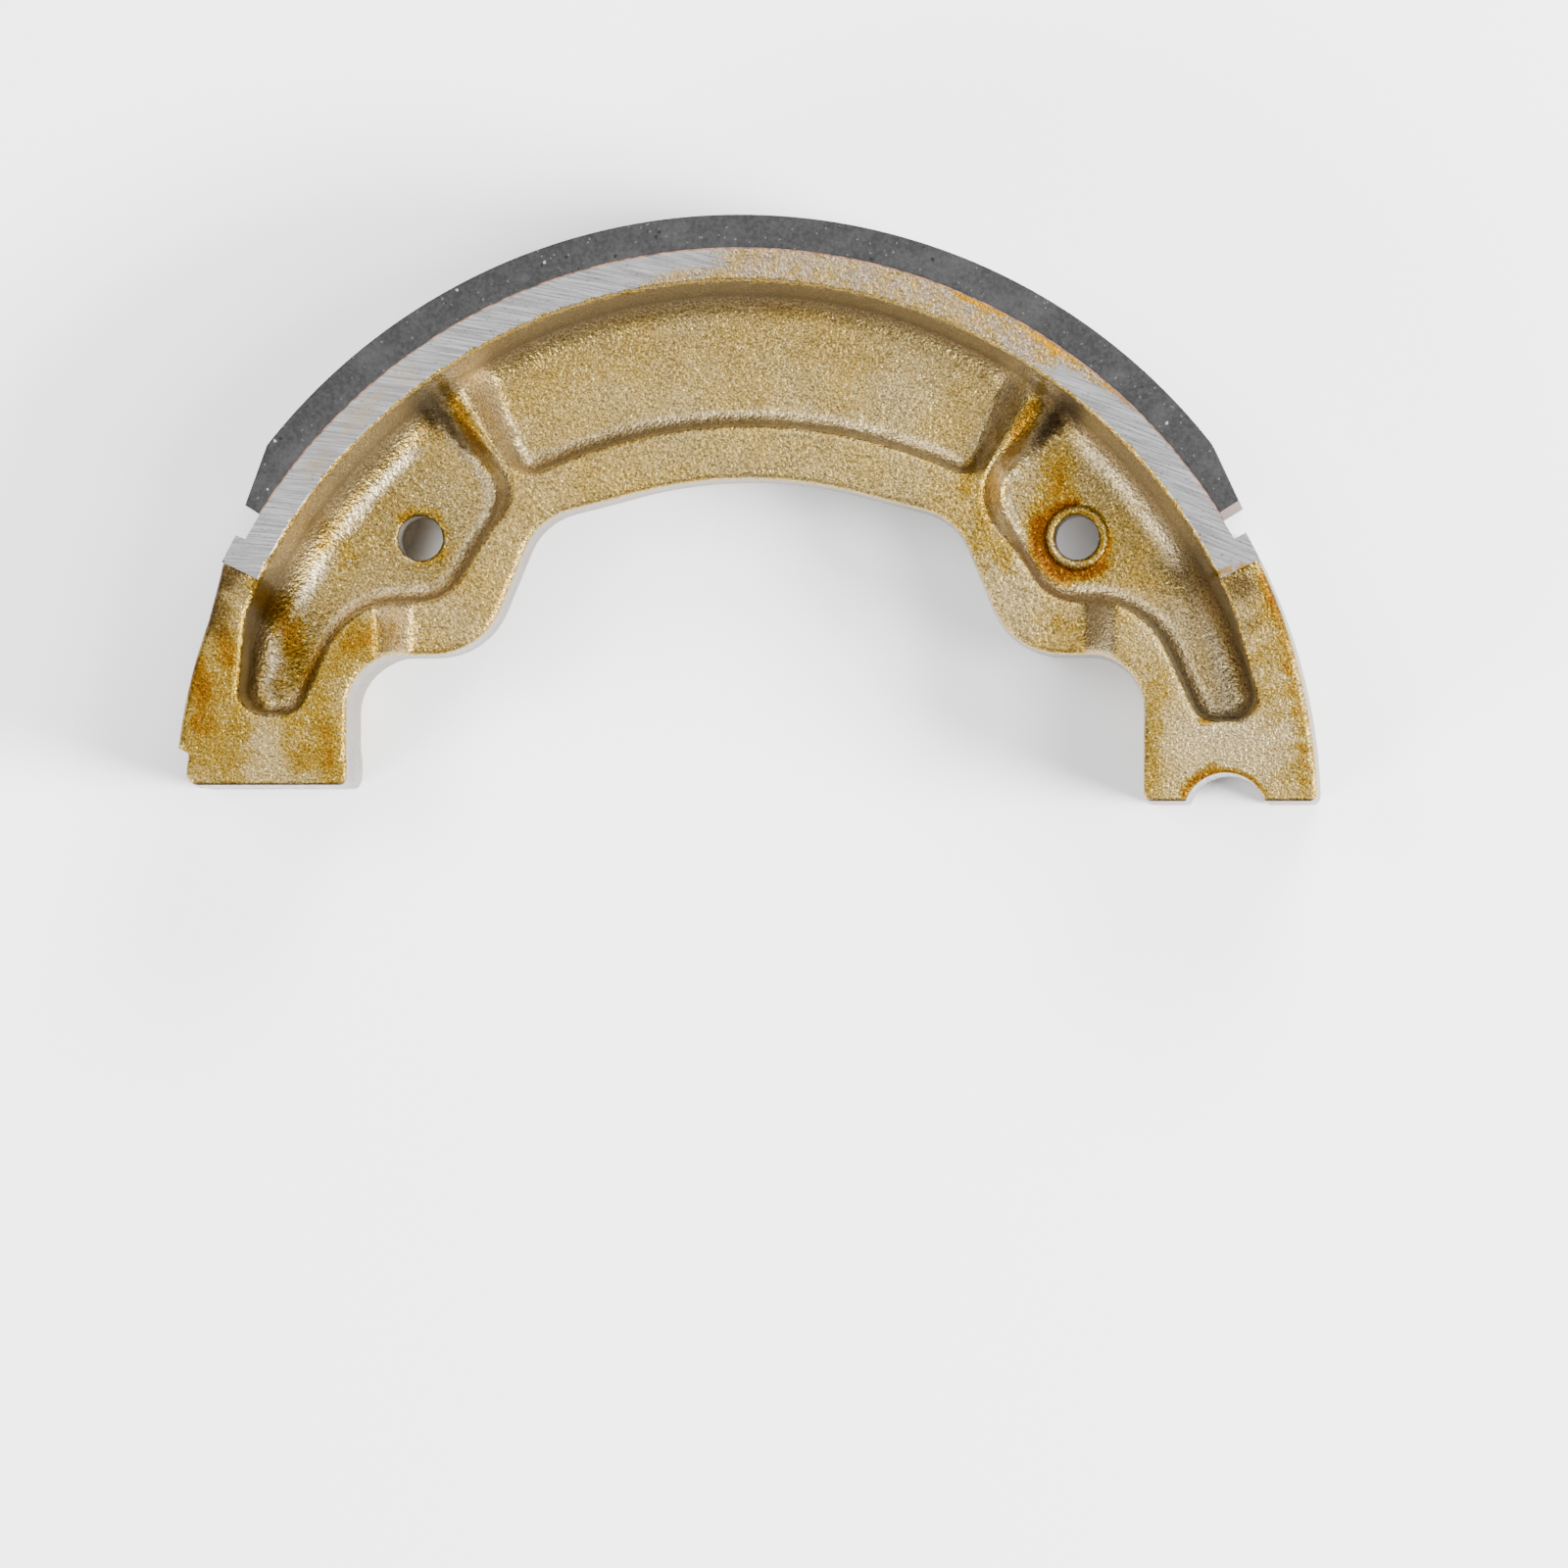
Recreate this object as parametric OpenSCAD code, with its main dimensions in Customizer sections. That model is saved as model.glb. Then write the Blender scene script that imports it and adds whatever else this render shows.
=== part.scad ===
// Shoe of a drum brake: a light-alloy die casting with a bonded friction lining.
// The shoe lies on its side. Z is the drum axis, the origin is on that axis at the lower
// side face, +Y points to the crown of the lining and +X to the anchor end.

/* [Drum and lining] */
// Inside diameter of the drum, which is the outside diameter of the new lining
drum_d = 130; // [126:0.5:140]
// Width of the rim and of the lining along the drum axis
shoe_w = 28; // [26:0.5:36]
// Thickness of the friction lining
lining_t = 3.55; // [2:0.05:5]
// Thickness of the adhesive film under the lining
bond_t = 0.15; // [0.1:0.05:0.4]
// Angle that the lining covers
lining_span = 115.8; // [100:0.1:118]
// Angle that the ground bevel at each lining end covers
bevel_span = 6; // [2:0.5:10]
// Depth of the bevel at the cam end of the lining
bevel_cam = 1.8; // [0.5:0.1:1.8]
// Depth of the bevel at the anchor end of the lining
bevel_anchor = 1.2; // [0.5:0.1:1.8]

/* [Rim] */
// Thickness of the rim under the lining
rim_t = 3.6; // [2.5:0.1:4.5]
// Angle that the machined full-width rim covers
rim_span = 127.8; // [122:0.1:132]
// Radius of the fillet between the rim and the pocket floors
rim_fillet = 4; // [2:0.5:4.5]
// Height of the stop at the cam end of the lining, above the lining seat
stop_h = 1.1; // [0.3:0.1:1.5]
// Angle that each of the two lining stops covers
stop_span = 3; // [2:0.1:4]
// How far the machined stops stand above the cast backs of the blocks beside them
stop_step = 0.15; // [0.1:0.05:0.3]

/* [Web and band] */
// Shift of the web's pattern from the drum axis towards the anchor end
web_shift = 0.6; // [0:0.1:0.8]
// Thickness of the web, which is the floor of the pockets
web_t = 7; // [5:0.5:10]
// Thickness of the inner band and of the two ribs
band_t = 15; // [11:0.5:19]
// Width of the inner band, from the arch to the pockets
band_w = 5.9; // [4.5:0.1:6.5]
// Fillet at the foot of the pocket walls on the band side
band_fillet = 1.3; // [0.6:0.1:1.8]
// Draft of the pocket walls, as the inset from the top edge to the fillet
wall_draft = 0.25; // [0.1:0.05:0.5]
// Angle from the crown to the side pocket's wall of the rib
rib_angle = 36.6; // [34:0.1:39]
// Thickness of the rib at its foot on the band
rib_foot_w = 3.2; // [2:0.1:4]
// Thickness of the rib at its head on the rim
rib_head_w = 6.6; // [4:0.1:9]
// Radius of the fillet between the top of the ribs and the rim
rib_fillet_r = 1.6; // [0.6:0.1:2]

/* [Arch] */
// Height of the arch at the crown, above the drum axis
crown_y = 36.6; // [33:0.1:38]
// Radius of the curve of the crown
crown_r = 48; // [40:1:70]
// Half the width of the curve of the crown
crown_x = 14; // [10:0.5:15]
// Half the width of the arch at its shoulders
shoulder_x = 22.7; // [21:0.1:24]
// Height of the shoulders
shoulder_y = 32.3; // [31:0.1:33]
// Half the width between the two knees, where the arch turns outwards
knee_x = 28.8; // [27.5:0.1:30]
// Height of the knees
knee_y = 17.5; // [16:0.1:19]
// Half the width between the inner sides of the two end blocks
inner_x = 43.15; // [41.5:0.1:44]

/* [End blocks] */
// Width of the end blocks along the drum axis
block_w = 26.4; // [20:0.2:27]
// Distance from the middle to the foot of the ramps up to the blocks
ramp_x = 38; // [36:0.1:38.5]
// Length of the ramps
ramp_l = 1.8; // [1:0.1:2.5]
// Length of the slopes from the ends of the rim down to the blocks
slope_l = 3.4; // [2:0.2:4]
// Height of the end of the side pockets above the drum axis
tail_y = 10.9; // [9.5:0.1:13]
// Width of the side pockets at their end
tail_w = 6.8; // [5.5:0.1:8]
// How far the end of the side pockets draws in from the line of the rim
tail_in = 1.3; // [0.6:0.1:2.5]
// Rounding of the pocket ends
tail_r = 2.6; // [1.8:0.1:2.7]

/* [Anchor end] */
// Radius of the half-round seat of the anchor pin
anchor_r = 4.55; // [3.5:0.05:5]
// Distance from the drum axis to the anchor pin
anchor_x = 52.6; // [50.5:0.1:54]
// Gap from the end face to the plane through the anchor pin
anchor_gap = 1.5; // [0.5:0.1:2]
// Height of the anchor block's back above the lining seat
anchor_back = 1.3; // [0.5:0.1:1.6]

/* [Cam end] */
// Gap from the cam face to the plane through the drum axis
cam_gap = 3.3; // [2:0.1:4.5]
// Depth of the step on the back of the cam foot
foot_step = 1.1; // [0.3:0.1:1.5]
// Height of that step above the cam face
foot_h = 4; // [3:0.1:5]
// Radius of the lobe on the inner side of the cam foot
lobe_r = 2.3; // [1.5:0.1:3]
// How far the lobe stands out of that side
lobe_out = 0.5; // [0.2:0.1:1.2]
// Distance of the lobe's ends from the sides of the block
lobe_end = 4; // [2:0.5:8]

/* [Spring holes] */
// Radius of the holes for the return springs
spring_r = 2.4; // [1.5:0.05:2.8]
// Distance of the holes from the middle
spring_x = 35.7; // [35:0.1:37]
// Height of the holes above the drum axis
spring_y = 30.3; // [29.5:0.1:31.5]
// Width of the raised rim round the hole at the anchor end
lip_w = 1; // [0.5:0.1:1.2]
// Height of that raised rim
lip_h = 0.4; // [0.2:0.05:0.8]

/* [Ejector pads] */
// Radius of the pads that the ejector pins leave on the lower side
pad_r = 2.5; // [1.5:0.1:3]
// Angle from the crown to the two pads at the rim
pad_angle = 35.5; // [34:0.5:37]
// How far the middles of those pads lie inside the rim
pad_in = 1; // [0.5:0.1:2]

/* [Hidden] */
$fn = 128;

seat_r = drum_d / 2 - lining_t - bond_t;
rim_in = seat_r - rim_t;
mid_z = shoe_w / 2;
floor_z = mid_z + web_t / 2;
band_z = mid_z + band_t / 2;
block_z = mid_z + block_w / 2;
back_r = seat_r + anchor_back;
stop_r = seat_r + stop_h;
foot_r = seat_r - foot_step;
corner_r = 0.9;
foot_corner_r = 1.3;
step_slope = 0.6;
shoulder_r = 7;
knee_r = 8;
block_inner_r = 6;
rib_corner_r = 5.5;
elbow_r = 9;
mid_corner_r = 1.6;
mid_corner_room = 2.4;
rib_foot_rise = 1;
back_low = 84;
cam_blend_span = 6;
tail_wall_span = 4;
corner_span = 3;
under_span = 1;
rim_blend = 1.5;
rim_lap = 1.2;
wall_step = 0.15;
slope_gap = 0.1;
lap = 0.4;
sink = 0.1;
arc_step = 6;
corner_step = 15;
crown_steps = 4;
fillet_steps = 3;
slope_steps = 3;
past = 1;

// A point on a circle round the drum axis, by its angle from the crown
function ray(a, r) = [r * sin(a), r * cos(a)];

// The points of an arc from angle a0 to a1, measured from the crown
function arc(r, a0, a1) =
    let (n = max(2, ceil(abs(a1 - a0) / arc_step)))
    [for (i = [0 : n]) ray(a0 + (a1 - a0) * i / n, r)];

// The points of a corner at p between its neighbours, rounded to radius r
function corner(before, p, after, r) =
    let (u = (before - p) / norm(before - p), v = (after - p) / norm(after - p),
         half = acos(u * v) / 2,
         c = p + (u + v) / norm(u + v) * r / sin(half),
         turn = 180 - 2 * half,
         n = max(2, ceil(turn / corner_step)),
         from = p + u * r / tan(half) - c,
         side = u[0] * v[1] - u[1] * v[0] > 0 ? -1 : 1)
    [for (i = [0 : n])
        let (t = side * turn * i / n)
        c + [from[0] * cos(t) - from[1] * sin(t), from[0] * sin(t) + from[1] * cos(t)]];

// Corners moved along X
function moved(path, x) = [for (c = path) [c[0] + x, c[1], c[2]]];

// A closed outline from corners [x, y, rounding]
function rounded(path) =
    let (n = len(path))
    [for (i = [0 : n - 1])
        let (p = path[i], b = path[(i + n - 1) % n], a = path[(i + 1) % n])
        each p[2] == 0 ? [[p[0], p[1]]]
            : corner([b[0], b[1]], [p[0], p[1]], [a[0], a[1]], p[2])];

// Plain points as corners that aren't rounded
function sharp(points) = [for (p = points) [p[0], p[1], 0]];

// The same points on the other side of the middle, in the opposite order
function mirrored(path) =
    [for (i = [len(path) - 1 : -1 : 0]) [-path[i][0], path[i][1], path[i][2]]];

// Where the line through p along u meets the line through q along v
function meet(p, u, q, v) =
    p + u * ((q[0] - p[0]) * v[1] - (q[1] - p[1]) * v[0]) / (u[0] * v[1] - u[1] * v[0]);

// Half of the arch, from the crown to the end block
crown_end = asin(crown_x / crown_r);
crown_half = [for (i = [1 : crown_steps])
    let (a = crown_end * i / crown_steps)
    [crown_r * sin(a), crown_y - crown_r + crown_r * cos(a), 0]];
arch_half = concat(crown_half,
    [[shoulder_x, shoulder_y, shoulder_r],
     [knee_x, knee_y, knee_r],
     [inner_x, knee_y, block_inner_r]]);

// Angles from the crown at which the parts of the outside start and end
rim_end = rim_span / 2;
lining_end = lining_span / 2;
under_end = rim_end - under_span;
cam_blend = rim_end + cam_blend_span;

// The cast shoe seen along the drum axis
outside = concat(
    [[inner_x + web_shift, anchor_gap, corner_r],
     [sqrt(pow(back_r, 2) - pow(anchor_gap, 2)), anchor_gap, corner_r]],
    sharp(arc(back_r, back_low, under_end)),
    sharp(arc(seat_r - lap, under_end, -under_end)),
    sharp([ray(-under_end, stop_r - stop_step)]),
    sharp(arc(seat_r, -cam_blend, -acos((cam_gap + foot_h) / seat_r))),
    sharp([[-sqrt(pow(foot_r, 2) - pow(cam_gap + foot_h, 2)), cam_gap + foot_h - step_slope]]),
    [[-sqrt(pow(foot_r, 2) - pow(cam_gap, 2)), cam_gap, foot_corner_r],
     [web_shift - inner_x, cam_gap, corner_r]]);
arch = moved(concat(mirrored(arch_half), [[0, crown_y, 0]], arch_half), web_shift);
side_view = rounded(concat(outside, arch));

// The middle pocket: the band follows the arch, the rim closes it outside
cut_r = rim_in + rim_lap;
rib_foot = ray(rib_angle, crown_y + band_w + rib_foot_rise);
mid_floor_r = crown_r + band_w;
mid_floor_y = crown_y - crown_r;
mid_foot_x = rib_foot[0] - rib_foot_w * cos(rib_angle);
mid_head_a = rib_angle - rib_head_w / rim_in * 180 / PI;
mid_bottom_end = asin((mid_foot_x - mid_corner_room) / mid_floor_r);
mid_bottom = [for (i = [1 : crown_steps])
    let (a = mid_bottom_end * i / crown_steps)
    [mid_floor_r * sin(a), mid_floor_y + mid_floor_r * cos(a), 0]];
mid_half = concat(mid_bottom,
    [[mid_foot_x, mid_floor_y + sqrt(pow(mid_floor_r, 2) - pow(mid_foot_x, 2)), mid_corner_r]],
    [concat(ray(mid_head_a, cut_r), 0)]);
mid_pocket = rounded(concat(mid_half,
    sharp(arc(cut_r, mid_head_a - corner_span, corner_span - mid_head_a)),
    mirrored(mid_half), [[0, mid_floor_y + mid_floor_r, 0]]));
mid_middle = [0, (crown_y + band_w + rim_in) / 2];

// The side pocket: its inner walls run along the arch at the width of the band
flank = [knee_x - shoulder_x, knee_y - shoulder_y];
flank_out = [-flank[1], flank[0]] / norm(flank) * band_w;
low_corner = meet([shoulder_x, shoulder_y] + flank_out, flank, [0, knee_y + band_w], [1, 0]);
tail_x = sqrt(pow(rim_in, 2) - pow(tail_y, 2)) - tail_in;
side_pocket = rounded(concat(
    [concat(ray(rib_angle, cut_r), 0),
     concat(rib_foot, rib_corner_r),
     concat(low_corner, rib_corner_r),
     [inner_x, knee_y + band_w, elbow_r],
     [tail_x - tail_w, tail_y, tail_r],
     [tail_x, tail_y, tail_r]],
    sharp([ray(rim_end + tail_wall_span, rim_in), ray(under_end, rim_in + wall_step)]),
    sharp(arc(cut_r, rim_end - corner_span, rib_angle + corner_span))));
side_middle = [inner_x, (knee_y + band_w + spring_y + spring_r) / 2];

// How far a point of a pocket's outline belongs to the band, from 0 in the rim to 1
function band_share(p) = max(0, min(1, (cut_r - norm(p)) / rim_blend));

// The direction into the pocket at point i of an outline
function inward(pts, i) =
    let (n = len(pts), d = pts[(i + 1) % n] - pts[(i + n - 1) % n])
    [-d[1], d[0]] / norm(d);

// One ring of a pocket's wall: the fillet runs from angle 0 at the wall to 90 on the floor
function ring(pts, t) =
    [for (i = [0 : len(pts) - 1])
        let (d = band_share(pts[i]) * (wall_draft + band_fillet * (1 - cos(t))))
        concat(pts[i] + inward(pts, i) * d, floor_z + band_fillet * (1 - sin(t)))];

// The space of a pocket, from its floor to past the side face, with drafted and filleted walls.
// The point centre has to see the whole outline.
module pocket_space(pts, centre) {
    n = len(pts);
    top = [for (p = pts) [p[0], p[1], shoe_w + past]];
    rows = concat([top], [for (k = [0 : fillet_steps]) ring(pts, 90 * k / fillet_steps)]);
    last = len(rows) - 1;
    middle = [concat(centre, shoe_w + past), concat(centre, floor_z)];
    points = concat([for (row = rows) each row], middle);
    top_middle = len(points) - 2;
    floor_middle = len(points) - 1;
    walls = [for (k = [0 : last - 1]) for (i = [0 : n - 1])
        let (j = (i + 1) % n, up = k * n, low = up + n)
        each [[up + i, up + j, low + j], [up + i, low + j, low + i]]];
    lid = [for (i = [0 : n - 1]) [top_middle, (i + 1) % n, i]];
    floor_faces = [for (i = [0 : n - 1]) [floor_middle, last * n + i, last * n + (i + 1) % n]];
    polyhedron(points = points, faces = concat(lid, walls, floor_faces));
}

// A slab of the shoe's side view, centred on the middle of its width
module slab(thickness) {
    translate([0, 0, mid_z - thickness / 2])
        linear_extrude(thickness) children();
}

// A ring sector between two radii, centred on the crown
module sector(r_in, r_out, span, z0, height) {
    rotate([0, 0, 90 - span / 2])
        rotate_extrude(angle = span)
            translate([r_in, z0]) square([r_out - r_in, height]);
}

// The zone of the blocks: full height outside the ramps, falling to the band inside them
module block_zone() {
    for (side = [-1, 1]) on_side(side)
        rotate([90, 0, 0]) translate([0, 0, -seat_r])
            linear_extrude(seat_r * 2)
                polygon([[ramp_x, mid_z - band_t / 2], [ramp_x + ramp_l, mid_z - block_w / 2],
                    [back_r + past, mid_z - block_w / 2], [back_r + past, block_z],
                    [ramp_x + ramp_l, block_z], [ramp_x, band_z]]);
}

// The web's pattern on its own side of the middle: 1 is the anchor end, -1 the cam end
module on_side(side) {
    translate([web_shift, 0, 0])
        if (side > 0) children();
        else mirror([1, 0, 0]) children();
}

// What is done to both sides of the casting
module both_faces() {
    children();
    translate([0, 0, shoe_w]) mirror([0, 0, 1]) children();
}

module spring_holes() {
    for (side = [-1, 1])
        on_side(side) translate([spring_x, spring_y, -past])
            cylinder(r = spring_r, h = shoe_w + 2 * past);
}

// The rim with its lining stops and its fillets to the ribs and down to the pocket floors
module rim() {
    long_span = rim_span + 2 * under_span;
    difference() {
        union() {
            sector(rim_in, seat_r, long_span, 0, shoe_w);
            lining_stop(back_r + stop_step);
            mirror([1, 0, 0]) lining_stop(stop_r);
            both_faces() turned(long_span) rib_fillet();
        }
        past_rim();
        mirror([1, 0, 0]) past_rim();
    }
    both_faces() turned(2 * acos(tail_y / rim_in)) floor_fillet();
}

// The stop at one end of the lining, towards +X
module lining_stop(r) {
    rotate([0, 0, 90 - rim_end - under_span])
        rotate_extrude(angle = stop_span + under_span)
            translate([rim_in + rim_lap, 0]) square([r - rim_in - rim_lap, shoe_w]);
}

// What lies past one end of the machined rim, towards +X
module past_rim() {
    inner = rim_in - rim_fillet;
    outer = back_r + stop_step + past;
    far = rim_end + 2 * stop_span;
    translate([0, 0, -past])
        linear_extrude(shoe_w + 2 * past)
            polygon([ray(rim_end, inner), ray(rim_end, outer), ray(far, outer), ray(far, inner)]);
}

// A profile turned round the drum axis over an angle, centred on the crown
module turned(span) {
    rotate([0, 0, 90 - span / 2]) rotate_extrude(angle = span) children();
}

// The profile of a fillet of radius r from a floor at height z up the inside of the rim. It
// starts a little under the floor and ends a little inside the rim.
module fillet_profile(r, z, step) {
    curve = [for (t = [step : step : 90 - step])
        [rim_in - r * (1 - sin(t)), z + r * (1 - cos(t))]];
    polygon(concat([[rim_in - r, z - sink]], curve, [[rim_in + sink, z + r + sink],
        [rim_in + rim_lap, z + r + sink], [rim_in + rim_lap, z - lap], [rim_in - r, z - lap]]));
}

module rib_fillet() {
    fillet_profile(rib_fillet_r, band_z, 2 * corner_step);
}

module floor_fillet() {
    fillet_profile(rim_fillet, floor_z, corner_step);
}

module ejector_pads() {
    pad_bottom = mid_z - block_w / 2;
    places = [ray(pad_angle, rim_in - pad_in), [tail_x - tail_w / 2, tail_y]];
    for (side = [-1, 1], place = places)
        on_side(side) translate([place[0], place[1], pad_bottom])
            cylinder(r = pad_r, h = mid_z - pad_bottom);
}

module cam_lobe() {
    lobe_bottom = mid_z - block_w / 2 + lobe_end;
    on_side(-1) translate([inner_x + lobe_r - lobe_out, cam_gap + lobe_r, lobe_bottom])
        cylinder(r = lobe_r, h = block_w - 2 * lobe_end);
}

module hole_lip() {
    on_side(1) translate([spring_x, spring_y, mid_z])
        cylinder(r = spring_r + lip_w, h = web_t / 2 + lip_h);
}

// The hollow slope that runs out from the rim's end to the block, towards +X. It starts inside
// the rim, and its foot goes on below the block's face.
module run_out() {
    rise = shoe_w - slope_gap - block_z;
    step_l = (slope_l + lap) / slope_steps;
    curve = [for (i = [0 : slope_steps - 1])
        [lap - step_l * i, block_z + rise * pow(1 - i / slope_steps, 2)]];
    foot = [-slope_l - step_l, block_z - rise / pow(slope_steps, 2)];
    rotate([0, 0, 90 - rim_end]) translate([rim_in - rim_fillet, 0, 0])
        rotate([90, 0, 90]) linear_extrude(back_r + past - rim_in + rim_fillet)
            polygon(concat([[lap, mid_z]], curve, [foot, [foot[0], mid_z]]));
}

// The band, the ribs and the end blocks round the six pockets
module web() {
    difference() {
        union() {
            slab(band_t) polygon(side_view);
            intersection() {
                slab(block_w) polygon(side_view);
                block_zone();
            }
            intersection() {
                slab(shoe_w) polygon(side_view);
                both_faces() {
                    run_out();
                    mirror([1, 0, 0]) run_out();
                }
            }
        }
        both_faces() {
            on_side(1) pocket_space(mid_pocket, mid_middle);
            for (side = [-1, 1])
                on_side(side) pocket_space(side_pocket, side_middle);
        }
    }
}

module shoe_casting() {
    color("#B5A67A")
    difference() {
        union() {
            web();
            rim();
            ejector_pads();
            cam_lobe();
            hole_lip();
        }
        spring_holes();
        translate([anchor_x, 0, -past]) cylinder(r = anchor_r, h = shoe_w + 2 * past);
    }
}

module bond_film() {
    color("#8A4B2E") sector(seat_r, seat_r + bond_t, lining_span, 0, shoe_w);
}

// The wedge ground off one end of the lining, towards +X
module bevel(depth) {
    start = ray(lining_end - bevel_span, drum_d / 2);
    end = ray(lining_end, drum_d / 2 - depth);
    over = (end - start) / norm(end - start) * lining_t;
    out = ray(lining_end, 2 * lining_t);
    translate([0, 0, -past])
        linear_extrude(shoe_w + 2 * past)
            polygon([start - over, end + over, end + over + out, start - over + out]);
}

module friction_lining() {
    color("#55585C")
    difference() {
        sector(seat_r + bond_t, drum_d / 2, lining_span, 0, shoe_w);
        bevel(bevel_anchor);
        mirror([1, 0, 0]) bevel(bevel_cam);
    }
}

shoe_casting();
bond_film();
friction_lining();
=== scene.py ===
import math

import bpy
import numpy as np
from mathutils import Matrix, Vector
from mathutils.geometry import delaunay_2d_cdt


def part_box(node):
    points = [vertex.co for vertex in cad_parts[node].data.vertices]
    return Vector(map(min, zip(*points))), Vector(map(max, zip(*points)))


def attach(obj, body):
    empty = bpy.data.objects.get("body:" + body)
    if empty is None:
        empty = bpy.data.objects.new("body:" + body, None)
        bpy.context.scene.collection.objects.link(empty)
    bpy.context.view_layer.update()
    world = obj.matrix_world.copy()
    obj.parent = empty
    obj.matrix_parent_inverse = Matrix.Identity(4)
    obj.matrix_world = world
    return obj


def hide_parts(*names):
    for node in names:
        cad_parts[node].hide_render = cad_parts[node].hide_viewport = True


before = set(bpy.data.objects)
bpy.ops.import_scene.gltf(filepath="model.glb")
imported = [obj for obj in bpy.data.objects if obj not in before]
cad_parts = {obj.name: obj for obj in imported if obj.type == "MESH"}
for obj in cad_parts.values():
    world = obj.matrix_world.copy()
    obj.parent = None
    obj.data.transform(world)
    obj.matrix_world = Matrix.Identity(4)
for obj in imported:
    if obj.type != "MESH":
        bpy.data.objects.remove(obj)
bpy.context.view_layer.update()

# Sizes are in millimetres in the frame of the construction, and MM turns them into metres.
# The shoe lies on its side: Z is the drum axis, +Y the crown and +X the anchor end. Heights of
# the casting are counted from the middle of its width.
MM = 0.001

# Rim and lining
DRUM_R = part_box("friction_lining")[1].y / MM
SHOE_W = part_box("friction_lining")[1].z / MM
MID_Z = SHOE_W / 2
LINING_T = 3.55
BOND_T = 0.15
LINING_SPAN = 115.8
BEVEL_SPAN = 6.0
BEVEL_CAM = 1.8
BEVEL_ANCHOR = 1.2
SEAT_R = DRUM_R - LINING_T - BOND_T
RIM_T = 3.6
RIM_IN = SEAT_R - RIM_T
RIM_SPAN = 127.8
RIM_END = RIM_SPAN / 2
RIM_FILLET = 2.9
SIDE_FILLET = 4.3
RIM_DRAFT = 1.15
TAIL_FILLET = 1.9
TAIL_DRAFT = 0.45
RIB_FILLET = 1.9
STOP_SPAN = 3.0
STOP_STEP = 0.15
CAM_STOP_R = SEAT_R + 1.1
BACK_R = SEAT_R + 1.3

# Web, band and ribs
WEB_SHIFT = 0.6
FLOOR_H = 3.5
BAND_H = 7.5
BLOCK_H = 13.2
BAND_W = 5.9
WALL_DRAFT = 0.2
POCKET_FILLET = 1.7
RIB_ANGLE = 36.6
RIB_FOOT_W = 2.0
RIB_HEAD_W = 4.4
RIB_FOOT_RISE = 1.0
RAMP_X = 36.2
RAMP_L = 4.3
SLOPE_L = 3.4

# Arch
CROWN_Y = 36.6
CROWN_R = 48.0
CROWN_X = 14.0
SHOULDER = np.array([22.7, 32.3])
KNEE = np.array([28.8, 17.5])
INNER_X = 43.15

# Ends of the side pockets
TAIL_Y = {1: 10.3, -1: 11.1}
TAIL_IN = {1: 0.9, -1: 1.3}
TAIL_W = 6.6
TAIL_R = 2.6
TAIL_END = RIM_END + 4.0
MID_CORNER_R = 2.2
MID_CORNER_ROOM = 2.6
RIB_CORNER_R = 5.5
ELBOW_R = 9.0

# Feet and holes
ANCHOR = np.array([52.6, 0.0])
ANCHOR_R = 4.55
ANCHOR_GAP = 1.5
CAM_GAP = 3.3
FOOT_H = 4.0
FOOT_R = SEAT_R - 1.1
STEP_SLOPE = 0.6
LOBE_R = 2.3
LOBE_OUT = 0.5
LOBE_H = 9.2
SPRING = np.array([35.7, 30.3])
SPRING_R = 2.4
LIP_W = 1.0
LIP_H = 0.45
PAD_R = 2.5
PAD_ANGLE = 35.5
PAD_IN = 1.0

# Roundings of the casting's edges
EDGE_R = 0.7
FOOT_EDGE_R = 0.35
POCKET_EDGE_R = 0.75
HOLE_EDGE_R = 0.5
CORNER_R = 0.9
FOOT_CORNER_R = 1.3
RIM_EDGE_R = 1.0
RIM_CAST_H = 14.15
CUT_LINE = 0.473

# The ribs' flanks: how far before the wall's line they begin, how far into the pocket they reach,
# and how much that grows towards the rim. A rib's head also rises into the rim's wall.
FLANK_OUT = 1.9
FLANK_IN = 0.9
FLANK_HEAD = 1.9
MID_FLANK_OUT = 1.1
MID_FLANK_OUT_HEAD = 0.6
MID_FLANK_IN = 1.1
MID_FLANK_HEAD = 1.5
HEAD_RISE = 1.6

# Fineness of the meshes
GAP = 0.5
FILL_GAP = 0.85
FILL_CLEAR = 0.42
RING_CLEAR = 0.1
HOLE_STEPS = 44
ROUND_STEPS = (0.0, 0.03, 0.12, 0.27, 0.5, 0.75, 1.0)
RIM_WALL_RINGS = (0.2, 0.45, 0.75, 1.15, 1.2, 1.32, 1.5, 1.8, 2.2, 2.7, 3.3, 4.05, 4.7, 5.45)
LIP_RINGS = (0.65, 0.8, 0.95, 1.1, 1.25, 1.35)
PAD_RINGS = (-0.25, 0.0, 0.06, 0.12)
PAD_SLOPE = 0.12
WALL_LEVELS = (0.9, 0.75, 0.5, 0.28, 0.12, 0.06, 0.03, 0.0, -0.03, -0.06, -0.12, -0.28, -0.5, -0.75, -0.9)
HOLE_LEVELS = (0.6, 0.2, -0.2, -0.6)


# Outlines

def ray(angle, r):
    """A point on a circle round the drum axis, by its angle from the crown."""
    a = math.radians(angle)
    return np.array([r * math.sin(a), r * math.cos(a)])


def arc(r, start, end, step=1.0):
    n = max(2, math.ceil(abs(end - start) / step))
    return [ray(start + (end - start) * i / n, r) for i in range(n + 1)]


def circle(centre, r, count=HOLE_STEPS):
    turn = np.linspace(0, 2 * math.pi, count, endpoint=False)
    return np.stack([centre[0] + r * np.cos(turn), centre[1] + r * np.sin(turn)], 1)


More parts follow.
